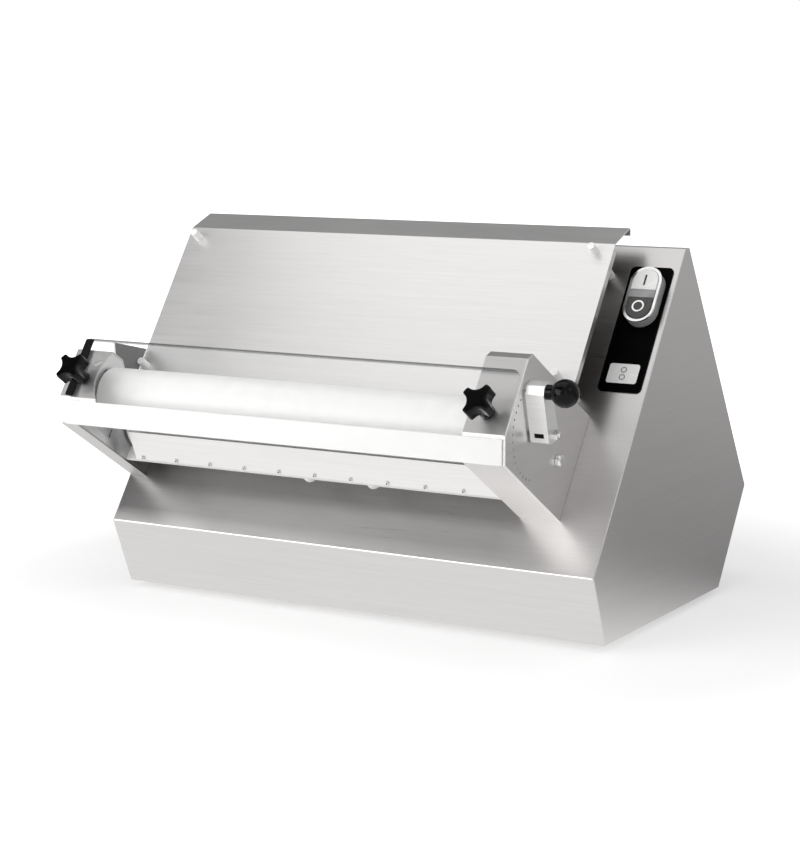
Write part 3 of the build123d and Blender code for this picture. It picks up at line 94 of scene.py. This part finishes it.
class Shader:
    """A node material around one Principled shader, with short calls for what the materials share."""

    def __init__(self, name, color, roughness, metallic=0.0):
        self.material = bpy.data.materials.new(name)
        self.material.use_nodes = True
        self.tree = self.material.node_tree
        self.bsdf = self.tree.nodes["Principled BSDF"]
        self.color, self.roughness = color, roughness
        self.bsdf.inputs["Base Color"].default_value = (*color, 1)
        self.bsdf.inputs["Roughness"].default_value = roughness
        self.bsdf.inputs["Metallic"].default_value = metallic
        self.place = self.node("ShaderNodeTexCoord").outputs["Object"]
        self.normal = None

    def node(self, kind, values=None, **settings):
        return add_node(self.tree, kind, values, **settings)

    def math(self, operation, *values, clamp=False):
        inputs = dict(enumerate(values))
        return self.node("ShaderNodeMath", inputs, operation=operation, use_clamp=clamp).outputs[0]

    def blend(self, first, second, share):
        """First value by its share, and the second by what is left."""
        return self.math("ADD", self.math("MULTIPLY", first, share), self.math("MULTIPLY", second, 1 - share))

    def axes(self):
        """The X, Y and Z of a place on the piece at rest."""
        return self.node("ShaderNodeSeparateXYZ", {"Vector": self.place}).outputs

    def up_slope(self, axes):
        """How far up the slope's direction a place lies, from the world's origin."""
        back, up = self.math("MULTIPLY", axes[1], SLOPE_COS), self.math("MULTIPLY", axes[2], SLOPE_SIN)
        return self.math("ADD", back, up)

    def noise(self, stretch, detail=3.0, roughness=0.55, seed=0.0):
        """Noise whose features are 1/stretch long each way, from 0 to 1 about 0.5."""
        start = (seed, seed * 1.7, seed * 0.6)
        moved = self.node("ShaderNodeMapping", {"Vector": self.place, "Location": start, "Scale": stretch})
        values = {"Vector": moved.outputs[0], "Scale": 1.0, "Detail": detail, "Roughness": roughness}
        return self.node("ShaderNodeTexNoise", values).outputs["Fac"]

    def between(self, value, low, high, from_low=0.3, from_high=0.7):
        """A value's range mapped to another, and held at its ends."""
        ranges = {"Value": value, "From Min": from_low, "From Max": from_high, "To Min": low, "To Max": high}
        return self.node("ShaderNodeMapRange", ranges).outputs[0]

    def rough(self, value, spread):
        """Roughness that follows a 0 to 1 value."""
        out = self.between(value, self.roughness - spread, self.roughness + spread)
        self.tree.links.new(out, self.bsdf.inputs["Roughness"])
        return self

    def tone(self, value, dark, light=1.0):
        """Base colour that a 0 to 1 value darkens and lightens."""
        first, second = [c * dark for c in self.color], [min(1, c * light) for c in self.color]
        return self.colors(self.between(value, 0, 1), first, second)

    def colors(self, factor, first, second):
        """Base colour that goes from one colour to another."""
        values = {"Factor": factor, MIX_FIRST: (*first, 1), MIX_SECOND: (*second, 1)}
        mix = self.node("ShaderNodeMix", values, data_type="RGBA")
        self.tree.links.new(mix.outputs[MIX_RESULT], self.bsdf.inputs["Base Color"])
        return self

    def bump(self, value, depth, strength=1.0):
        """Surface relief, added to what there is already."""
        values = {"Height": value, "Distance": depth, "Strength": strength}
        if self.normal is not None:
            values["Normal"] = self.normal
        self.normal = self.node("ShaderNodeBump", values).outputs[0]
        self.tree.links.new(self.normal, self.bsdf.inputs["Normal"])
        return self


LONG_GRAIN, FINE_GRAIN = 14, 900
ALONG = {"X": (LONG_GRAIN, FINE_GRAIN, FINE_GRAIN), "Y": (FINE_GRAIN, LONG_GRAIN, FINE_GRAIN)}
STEEL = (0.62, 0.605, 0.60)

# Painted shade on the front casing's slope under the rollers, where the head shades it and is mirrored in it:
# from its lip up, short of the right end, most at the left.
SHADE_UP = (LIP_UP + 0.002, LIP_UP + 0.020)
SHADE_RIGHT_END = (0.19, 0.27)
SHADE_LEFT_END = (-0.31, -0.18)
SHADE, EXTRA_SHADE = 0.30, 0.35

# Painted shade on the guard's cut top edge: it is darker and denser than its face, for how light bends in the
# cut edge of the clear sheet.
GUARD_TOP_S = 0.153
GUARD_EDGE_SHADE = (LIP_UP + GUARD_TOP_S - 0.0030, LIP_UP + GUARD_TOP_S - 0.0020)
GUARD_COLOR = (0.94, 0.95, 0.95)
EDGE_SHADE_COLOR = (0.10, 0.10, 0.10)
EDGE_SHADE_ALPHA = 0.6
HAZE = (0.012, 0.016)
GLANCE_POWER, GLANCE_LEAST = 5.0, 0.05


def brushed(name, grain, color=STEEL, roughness=0.30):
    """Sheet metal brushed along one axis, with long faint streaks and a cloudy polish."""
    s = Shader(name, color, roughness, 1.0)
    fine = s.noise(ALONG[grain], detail=4, roughness=0.7)
    streak = s.noise([v / 3 for v in ALONG[grain]], detail=2, seed=3.0)
    cloud = s.noise((7, 7, 7), detail=3, seed=8.0)
    both = s.blend(fine, streak, 0.7)
    s.rough(s.blend(both, cloud, 0.7), 0.05)
    s.tone(both, 0.95, 1.05)
    s.bump(fine, 0.00006, 0.25)
    s.bsdf.inputs["Anisotropic"].default_value = 0.4
    tangent = s.node("ShaderNodeTangent", direction_type="RADIAL", axis=grain)
    s.tree.links.new(tangent.outputs[0], s.bsdf.inputs["Tangent"])
    return s


def shaded_front(name):
    """Brushed steel of the front casing, with painted shade where its slope runs under the rollers."""
    s = brushed(name, "X")
    axes = s.axes()
    right = s.between(axes[0], 1.0, 0.0, *SHADE_RIGHT_END)
    under = s.math("MULTIPLY", s.between(s.up_slope(axes), 0.0, 1.0, *SHADE_UP), right)
    left = s.between(axes[0], 1.0, 0.0, *SHADE_LEFT_END)
    # Painted shade: how much the base colour is darkened under the rollers.
    shade = s.math("MULTIPLY", under, s.math("ADD", SHADE, s.math("MULTIPLY", left, EXTRA_SHADE)))
    color = s.bsdf.inputs["Base Color"].links[0].from_socket
    kept = {0: color, "Scale": s.math("SUBTRACT", 1.0, shade)}
    scaled = s.node("ShaderNodeVectorMath", kept, operation="SCALE")
    s.tree.links.new(scaled.outputs[0], s.bsdf.inputs["Base Color"])
    return s


def turned(name, color=(0.74, 0.735, 0.73), roughness=0.16):
    """Turned or plated metal with fine lathe rings and a slightly uneven shine."""
    s = Shader(name, color, roughness, 1.0)
    rings = s.noise((2600, 40, 40), detail=2, seed=2.0)
    cloud = s.noise((90, 90, 90), detail=3, seed=5.0)
    s.rough(s.blend(rings, cloud, 0.5), 0.06)
    s.tone(cloud, 0.9, 1.06)
    s.bump(rings, 0.00003, 0.3)
    return s


def moulded(name, color, roughness, grain, depth, dark=0.9, light=1.08, coat=0.0, gloss=0.5):
    """Moulded plastic, rubber or paint: a fine skin, a broader waviness and a little cloudiness."""
    s = Shader(name, color, roughness)
    skin = s.noise((grain, grain, grain), detail=3)
    wave = s.noise((60, 60, 60), detail=2, seed=4.0)
    s.rough(s.blend(skin, wave, 0.4), roughness * 0.25)
    s.tone(wave, dark, light)
    s.bump(skin, depth, 0.5).bump(wave, depth * 3, 0.3)
    s.bsdf.inputs["Coat Weight"].default_value = coat
    s.bsdf.inputs["Specular IOR Level"].default_value = gloss
    s.bsdf.inputs["Coat Roughness"].default_value = 0.06
    return s


def cast(name, color):
    """Cast housing under satin paint, with a sandy surface and worn high spots."""
    s = Shader(name, color, 0.45)
    sand = s.noise((700, 700, 700), detail=4, roughness=0.7)
    patch = s.noise((25, 25, 25), detail=4, seed=6.0)
    s.rough(patch, 0.1).tone(patch, 0.8, 1.15).bump(sand, 0.00025, 0.5)
    return s


def clear(name):
    """Clear polycarbonate that mirrors at a glance, partly through a painted white sheen, with a painted dark
    line along its cut top edge.
    """
    s = Shader(name, GUARD_COLOR, 0.06)
    facing = s.node("ShaderNodeLayerWeight", {"Blend": 0.5}).outputs["Facing"]
    front = s.math("SUBTRACT", 1.0, s.node("ShaderNodeNewGeometry").outputs["Backfacing"])
    # Alpha rises at a glance: the shader's own gloss mirrors there, and its white base colour shows as a
    # painted sheen.
    glance = s.math("MULTIPLY", s.math("ADD", s.math("POWER", facing, GLANCE_POWER), GLANCE_LEAST), front)
    haze = s.between(s.noise((30, 30, 30), detail=5, seed=1.0), *HAZE)
    up = s.up_slope(s.axes())
    # Painted shade along the cut top edge, in alpha and in colour.
    edge = s.between(up, 0.0, EDGE_SHADE_ALPHA, *GUARD_EDGE_SHADE)
    alpha = s.math("ADD", s.math("ADD", haze, glance), edge, clamp=True)
    s.tree.links.new(alpha, s.bsdf.inputs["Alpha"])
    s.colors(s.between(up, 0.0, 1.0, *GUARD_EDGE_SHADE), GUARD_COLOR, EDGE_SHADE_COLOR)
    scratch = s.noise((400, 30, 30), detail=3, seed=9.0)
    s.rough(scratch, 0.03)
    return s


SHADERS = {
    "steel_x": brushed("steel_brushed_across", "X"),
    "front": shaded_front("steel_front_casing"),
    # Lighter copy of the brushed steel: painted highlight for the light the scraper panel mirrors.
    "scraper": brushed("steel_scraper_panel", "X", (0.78, 0.77, 0.765), 0.36),
    "steel_y": brushed("steel_brushed_level", "Y", (0.60, 0.585, 0.58), 0.33),
    "end": brushed("steel_end_plate", "Y", (0.70, 0.69, 0.685), 0.38),
    # Darker copy of the brushed steel: painted shade that keeps the head covers from glaring.
    "head": brushed("steel_head_cover", "X", (0.57, 0.56, 0.555), 0.36),
    "chute": brushed("steel_chute", "X", (0.78, 0.77, 0.765), 0.38),
    "plate": brushed("aluminium_plate", "Y", (0.66, 0.66, 0.665), 0.36),
    "bright": turned("bright_steel"),
    "folded": brushed("lever_sheet", "X", (0.85, 0.845, 0.84), 0.42),
    "ring": turned("chromed_ring", (0.80, 0.80, 0.80), 0.12),
    # White of the front strip: partly its own colour, partly painted glare on the bar.
    "strip_white_and_glare": moulded("white_enamel", (0.88, 0.88, 0.87), 0.34, 300, 0.00003, dark=0.99, light=1.01),
    "nylon": moulded("white_nylon", (0.86, 0.86, 0.85), 0.42, 500, 0.00004, dark=0.97, light=1.02),
    "knob": moulded("black_phenolic", (0.0015, 0.0015, 0.0015), 0.12, 350, 0.00002, dark=0.7, light=1.5,
                    gloss=0.15),
    "panel": moulded("black_laminate", (0.001, 0.001, 0.001), 0.4, 600, 0.00002, dark=0.8, light=1.3,
                     gloss=0.02),
    "case": moulded("switch_case", (0.30, 0.30, 0.305), 0.30, 400, 0.00003),
    "white_key": moulded("white_key", (0.80, 0.80, 0.79), 0.25, 400, 0.00002, dark=0.98, light=1.02,
                         coat=0.3),
    "black_key": moulded("black_key", (0.035, 0.033, 0.032), 0.28, 400, 0.00002, dark=0.8, light=1.2,
                         coat=0.2),
    "lens": moulded("grey_lens", (0.27, 0.27, 0.275), 0.2, 300, 0.00002, dark=0.85, light=1.15, coat=0.4),
    # Black rubber of the feet and belt; the same material is painted shade in the screw recesses and in the
    # lever's slot.
    "rubber": moulded("black_rubber_and_painted_shade", (0.006, 0.006, 0.006), 0.6, 900, 0.0001, gloss=0.1),
    "grey_plastic": moulded("grey_plastic", (0.16, 0.165, 0.17), 0.5, 500, 0.00006),
    "bronze": turned("sintered_bronze", (0.50, 0.34, 0.18), 0.4),
    "paint": cast("grey_cast_paint", (0.17, 0.185, 0.20)),
    # Dark material for the painted shade on the end plate's ear.
    "ear_shade": moulded("dark_painted_shade", (0.05, 0.047, 0.047), 0.4, 500, 0.00004, dark=0.7, light=1.3),
    "clear": clear("clear_polycarbonate"),
}

LOOKS = {
    "steel_x": ["rear_cover", "base_plate"],
    "front": ["front_casing"],
    "scraper": ["scraper_panel"],
    "steel_y": ["left_side_panel", "right_side_panel"],
    "end": ["left_end_plate", "index_plate"],
    "head": ["left_head_cover", "right_head_cover"],
    "chute": ["chute_plate"],
    "plate": ["left_frame_plate", "right_frame_plate", "left_bearing_block", "right_bearing_block",
              "motor_bracket", "motor_pulley", "roller_pulley"],
    "bright": ["hex_bolts", "panel_screws", "scraper_screws", "front_axle", "rear_axle", "lever_shaft",
               "scroll_cam", "index_pin", "motor_rotor", "gearbox_shaft"],
    "folded": ["lever_bracket"],
    "ring": ["switch_ring"],
    "strip_white_and_glare": ["front_strip"],
    "nylon": ["rear_scraper_blade", "front_scraper", "panel_discs", "chute_standoffs",
              "front_roller", "rear_roller", "front_gear", "rear_gear"],
    "knob": ["left_star_knob", "right_star_knob", "index_knob"],
    "panel": ["control_plate"],
    "case": ["switch_body"],
    "white_key": ["start_button"],
    "black_key": ["stop_button", "guard_switch"],
    "lens": ["indicator_lens"],
    "rubber": ["feet", "drive_belt"],
    "grey_plastic": ["contact_block", "contactor", "cable_gland", "cooling_fan"],
    "bronze": ["rear_bushes", "front_bushes"],
    "paint": ["motor_housing", "fan_cover", "gearbox"],
    "clear": ["guard"],
}
for look, nodes in LOOKS.items():
    for node in nodes:
        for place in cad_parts[node].material_slots:
            place.material = SHADERS[look].material


# --- Small pieces ---------------------------------------------------------------------------------
def piece(name, mesh, look, body, matrix=TO_SLOPE):
    """Puts a mesh in place on a body, by the matrix of the frame that the mesh is built in."""
    made = bpy.data.objects.new(name, bpy.data.meshes.new(name))
    mesh.to_mesh(made.data)
    mesh.free()
    made.data.transform(matrix)
    made.data.materials.append(SHADERS[look].material)
    bpy.context.scene.collection.objects.link(made)
    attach(made, body)


def raised(points, low, high, ease):
    """Closed solid over a convex outline, with an eased top edge."""
    mesh = bmesh.new()
    centre = sum((Vector(p) for p in points), Vector((0, 0))) / len(points)
    shrink = [tuple(centre + (Vector(p) - centre) * (1 - ease / (Vector(p) - centre).length)) for p in points]
    rings = [[mesh.verts.new((x, y, z)) for x, y in outline]
             for outline, z in ((points, low), (points, high - ease), (shrink, high))]
    count = len(points)
    for a, b in zip(rings, rings[1:]):
        for i in range(count):
            mesh.faces.new((a[i], a[(i + 1) % count], b[(i + 1) % count], b[i]))
    mesh.faces.new(rings[-1])
    mesh.faces.new(list(reversed(rings[0])))
    return mesh


def sheet(outline, start, end):
    """Flat sheet across the machine over an outline in s and h."""
    mesh = bmesh.new()
    sides = [[mesh.verts.new((x, s, h)) for s, h in outline] for x in (start, end)]
    mesh.faces.new(sides[0])
    mesh.faces.new(list(reversed(sides[1])))
    for i in range(len(outline)):
        j = (i + 1) % len(outline)
        mesh.faces.new((sides[0][j], sides[0][i], sides[1][i], sides[1][j]))
    bmesh.ops.recalc_face_normals(mesh, faces=mesh.faces)
    return mesh


def rounded(cx, cy, width, height, radius, steps=8):
    """Rounded rectangle's outline, counter-clockwise."""
    points = []
    for quarter, (sx, sy) in enumerate(((1, 1), (-1, 1), (-1, -1), (1, -1))):
        for i in range(steps + 1):
            a = pi / 2 * (quarter + i / steps)
            points.append((cx + sx * (width / 2 - radius) + radius * cos(a),
                           cy + sy * (height / 2 - radius) + radius * sin(a)))
    return points


def hoop(cx, cy, radius, half, low, high, steps=48):
    """Flat ring standing on a face."""
    mesh = bmesh.new()
    section = [(radius - half, low), (radius - half, high), (radius + half, high), (radius + half, low)]
    rings = []
    for i in range(steps):
        a = 2 * pi * i / steps
        rings.append([mesh.verts.new((cx + r * cos(a), cy + r * sin(a), z)) for r, z in section])
    for a, b in zip(rings, rings[1:] + rings[:1]):
        for j in range(4):
            mesh.faces.new((a[j], a[(j + 1) % 4], b[(j + 1) % 4], b[j]))
    bmesh.ops.recalc_face_normals(mesh, faces=mesh.faces)
    return mesh


# Dark strip along the guard's left edge.
GUARD_LEFT = -0.309
GUARD_FACE = 0.1708
STRIP_PLACE = (GUARD_LEFT + 0.0095, 0.1155)
STRIP_SIZE = (0.011, 0.073)
STRIP_CORNER, STRIP_THICKNESS, STRIP_EASE = 0.0015, 0.0012, 0.0004
strip_outline = rounded(*STRIP_PLACE, *STRIP_SIZE, STRIP_CORNER)
strip = raised(strip_outline, GUARD_FACE, GUARD_FACE + STRIP_THICKNESS, STRIP_EASE)
piece("guard_strip", strip, "rubber", "guard")

# Dark sheet on the inner face of the left end plate's ear: painted shade where that face lies in shadow.
EAR_FACE = -0.3125
EAR_LIFT, EAR_DEPTH = 0.0001, 0.0005
EAR_OUTLINE = [(0.158, 0.108), (0.1685, 0.1055), (0.178, 0.1140), (0.201, 0.057), (0.1735, 0.057),
               (0.1735, 0.045), (0.158, 0.045)]
ear_shade_sheet = sheet(EAR_OUTLINE, EAR_FACE + EAR_LIFT, EAR_FACE + EAR_DEPTH)
piece("ear_painted_shade", ear_shade_sheet, "ear_shade", "casing")

# Dark hexagons at the bottom of the recesses in the scraper panel's screws: painted shade in the recesses, in
# the black rubber material.
PANEL_LOW, PANEL_TOP = Vector((0.0595, 0.0435)), Vector((0.0810, 0.0795))
PANEL_UP = (PANEL_TOP - PANEL_LOW).normalized()
RECESS_COUNT = 10
RECESS_FIRST_X, RECESS_STEP, RECESS_UP = -0.264, 0.0474, 0.0075
RECESS_RADIUS = 0.00105
RECESS_LOW, RECESS_HIGH, RECESS_EASE = 0.0007, 0.0012, 0.0001
to_panel = TO_SLOPE @ Matrix((
    (1, 0, 0, 0),
    (0, PANEL_UP[0], -PANEL_UP[1], PANEL_LOW[0]),
    (0, PANEL_UP[1], PANEL_UP[0], PANEL_LOW[1]),
    (0, 0, 0, 1),
))
for i in range(RECESS_COUNT):
    middle = RECESS_FIRST_X + RECESS_STEP * i
    hexagon = [(middle + RECESS_RADIUS * cos(a * pi / 3), RECESS_UP + RECESS_RADIUS * sin(a * pi / 3))
               for a in range(6)]
    recess = raised(hexagon, RECESS_LOW, RECESS_HIGH, RECESS_EASE)
    piece(f"screw_recess_{i + 1}", recess, "rubber", "casing", to_panel)

# Dark block in the slot beside the lever's pivot, painted shade for the slot's hollow, in a frame whose first
# axis runs out along the arm.
PIVOT = (0.112, 0.110)
ARM_TURN = radians(56.8)
SLOT_SHADE_OUTLINE = [(0.0027, 0.0113), (0.0073, 0.0113), (0.0073, 0.0129), (0.0027, 0.0129)]
SLOT_SHADE_START, SLOT_SHADE_END, SLOT_SHADE_EASE = 0.2652, 0.2758, 0.0002
pivot_y, pivot_z = (TO_SLOPE @ Vector((0, *PIVOT)))[1:]
arm_y = cos(ARM_TURN) * SLOPE_COS - sin(ARM_TURN) * SLOPE_SIN
arm_z = cos(ARM_TURN) * SLOPE_SIN + sin(ARM_TURN) * SLOPE_COS
to_arm = Matrix(((0, 0, 1, 0), (arm_y, -arm_z, 0, pivot_y), (arm_z, arm_y, 0, pivot_z), (0, 0, 0, 1)))
slot_shade = raised(SLOT_SHADE_OUTLINE, SLOT_SHADE_START, SLOT_SHADE_END, SLOT_SHADE_EASE)
piece("slot_painted_shade", slot_shade, "rubber", "lever", to_arm)

# Bar and ring on the start and stop keys.
SWITCH_X, SWITCH_S = 0.2855, 0.335
KEY_OFFSET = 0.0165
KEY_TOP = 0.017
MARK_LOW, MARK_HIGH, MARK_EASE = KEY_TOP - 0.0002, KEY_TOP + 0.0004, 0.0002
BAR_SIZE, BAR_CORNER = (0.0022, 0.0135), 0.0008
RING_RADIUS, RING_HALF = 0.0062, 0.0009
bar_outline = rounded(SWITCH_X, SWITCH_S + KEY_OFFSET, *BAR_SIZE, BAR_CORNER)
bar = raised(bar_outline, MARK_LOW, MARK_HIGH, MARK_EASE)
piece("start_mark", bar, "black_key", "start_key")
ring = hoop(SWITCH_X, SWITCH_S - KEY_OFFSET, RING_RADIUS, RING_HALF, MARK_LOW, MARK_HIGH)
piece("stop_mark", ring, "ring", "stop_key")

# Plain label on the control plate, with two rings that stand for the two rollers.
LABEL_X, LABEL_S = 0.283, 0.242
LABEL_SIZE, LABEL_CORNER, LABEL_EASE = (0.036, 0.024), 0.003, 0.0002
LABEL_LOW, LABEL_TOP = 0.0013, 0.0019
SIGN_RADIUS, SIGN_HALF, SIGN_RISE = 0.0030, 0.0007, 0.0045
SIGN_LOW, SIGN_TOP = 0.0018, 0.0021
label_outline = rounded(LABEL_X, LABEL_S, *LABEL_SIZE, LABEL_CORNER)
label = raised(label_outline, LABEL_LOW, LABEL_TOP, LABEL_EASE)
piece("label", label, "white_key", "casing")
for name, rise in (("label_upper_roller", SIGN_RISE), ("label_lower_roller", -SIGN_RISE)):
    sign = hoop(LABEL_X, LABEL_S + rise, SIGN_RADIUS, SIGN_HALF, SIGN_LOW, SIGN_TOP)
    piece(name, sign, "case", "casing")

# --- Floor, light and world -----------------------------------------------------------------------
# The camera sees a white table that glows more with distance.  What is polished mirrors another floor, a
# painted glow:
# bright in front of the machine as a painted pool of light, darkest just behind it as a painted shadow of the
# machine, and a little brighter further back.
FLOOR_HALF = 30
FLOOR_COLOR = (0.82, 0.82, 0.82)
SEEN_GLOW = (0.34, 1.1)
SEEN_DISTANCE = (0.5, 1.3)
FRONT_GLOW, FRONT_Y = (0.80, 0.0), (-0.1, 0.3)
BACK_GLOW, BACK_Y = (0.30, 0.56), (0.3, 2.5)
WHITE = (1, 1, 1, 1)

floor_mesh = bmesh.new()
bmesh.ops.create_grid(floor_mesh, x_segments=1, y_segments=1, size=FLOOR_HALF)
floor = bpy.data.objects.new("floor", bpy.data.meshes.new("floor"))
floor_mesh.to_mesh(floor.data)
floor_mesh.free()
bpy.context.scene.collection.objects.link(floor)
ground = Shader("pale_floor", FLOOR_COLOR, 0.9)
ground.bsdf.inputs["Specular IOR Level"].default_value = 0.1
ground.bsdf.inputs["Emission Color"].default_value = WHITE
ray = ground.node("ShaderNodeLightPath").outputs
away = ground.node("ShaderNodeVectorMath", {0: ground.place}, operation="LENGTH").outputs["Value"]
seen = ground.math("MULTIPLY", ray["Is Camera Ray"], ground.between(away, *SEEN_GLOW, *SEEN_DISTANCE))
ground.tree.links.new(seen, ground.bsdf.inputs["Emission Strength"])
floor_y = ground.axes()[1]
front_glow = ground.between(floor_y, *FRONT_GLOW, *FRONT_Y)
back_glow = ground.between(floor_y, *BACK_GLOW, *BACK_Y)
mirrored = ground.math("ADD", front_glow, back_glow)
glow = ground.node("ShaderNodeEmission", {"Color": WHITE, "Strength": mirrored}).outputs[0]
surface = ground.node("ShaderNodeMixShader", {0: ray["Is Glossy Ray"], 1: ground.bsdf.outputs[0], 2: glow})
ground.tree.links.new(surface.outputs[0], ground.tree.nodes["Material Output"].inputs["Surface"])
floor.data.materials.append(ground.material)


def softbox(name, place, target, width, height, watts):
    """Rectangular light that faces a target."""
    light = bpy.data.objects.new(name, bpy.data.lights.new(name, "AREA"))
    light.data.shape = "RECTANGLE"
    light.data.size, light.data.size_y = width, height
    light.data.energy = watts
    light.location = place
    light.rotation_mode = "QUATERNION"
    light.rotation_quaternion = (Vector(target) - Vector(place)).to_track_quat("-Z", "Y")
    bpy.context.scene.collection.objects.link(light)


softbox("front_light", (-1.25, -2.1, 0.80), (0, -0.1, 0.2), 2.3, 1.6, 36)
softbox("top_light", (-0.20, -0.38, 1.35), (-0.20, -0.38, 0), 1.5, 0.9, 4.5)
softbox("side_light", (1.7, -2.6, 1.0), (0.1, -0.1, 0.25), 0.35, 1.3, 3)

# The room's glow, with a dark spot high at the left front, another high at the left back and a bright one
# high at the right.  Each has its aim, the cosines where it starts and is full, and how much it adds.
ROOM_GLOW = 0.62
ROOM_SPOTS = (
    ((-0.50, -0.44, 0.75), 0.80, 0.93, -0.50),
    ((-0.50, 0.51, 0.70), 0.86, 0.95, -0.40),
    ((0.76, -0.19, 0.58), 0.965, 0.99, 0.9),
)

world = bpy.data.worlds.new("studio")
bpy.context.scene.world = world
world.use_nodes = True
tree = world.node_tree
tree.nodes.clear()
direction = add_node(tree, "ShaderNodeTexCoord").outputs["Generated"]


def patch(aim, start, full, change):
    """Part of the room's glow that is added, or taken away, around one direction."""
    both = {0: direction, 1: Vector(aim).normalized()}
    near = add_node(tree, "ShaderNodeVectorMath", both, operation="DOT_PRODUCT").outputs["Value"]
    ranges = {"Value": near, "From Min": start, "From Max": full, "To Min": 0.0, "To Max": change}
    return add_node(tree, "ShaderNodeMapRange", ranges, interpolation_type="SMOOTHSTEP").outputs[0]


strength = add_node(tree, "ShaderNodeValue").outputs[0]
strength.default_value = ROOM_GLOW
for spot in ROOM_SPOTS:
    strength = add_node(tree, "ShaderNodeMath", {0: strength, 1: patch(*spot)}, operation="ADD").outputs[0]
room = add_node(tree, "ShaderNodeBackground", {"Color": WHITE, "Strength": strength}).outputs[0]
backdrop = add_node(tree, "ShaderNodeBackground", {"Color": WHITE, "Strength": 1.0}).outputs[0]
from_camera = add_node(tree, "ShaderNodeLightPath").outputs["Is Camera Ray"]
mixed = add_node(tree, "ShaderNodeMixShader", {0: from_camera, 1: room, 2: backdrop})
add_node(tree, "ShaderNodeOutputWorld", {"Surface": mixed.outputs[0]})
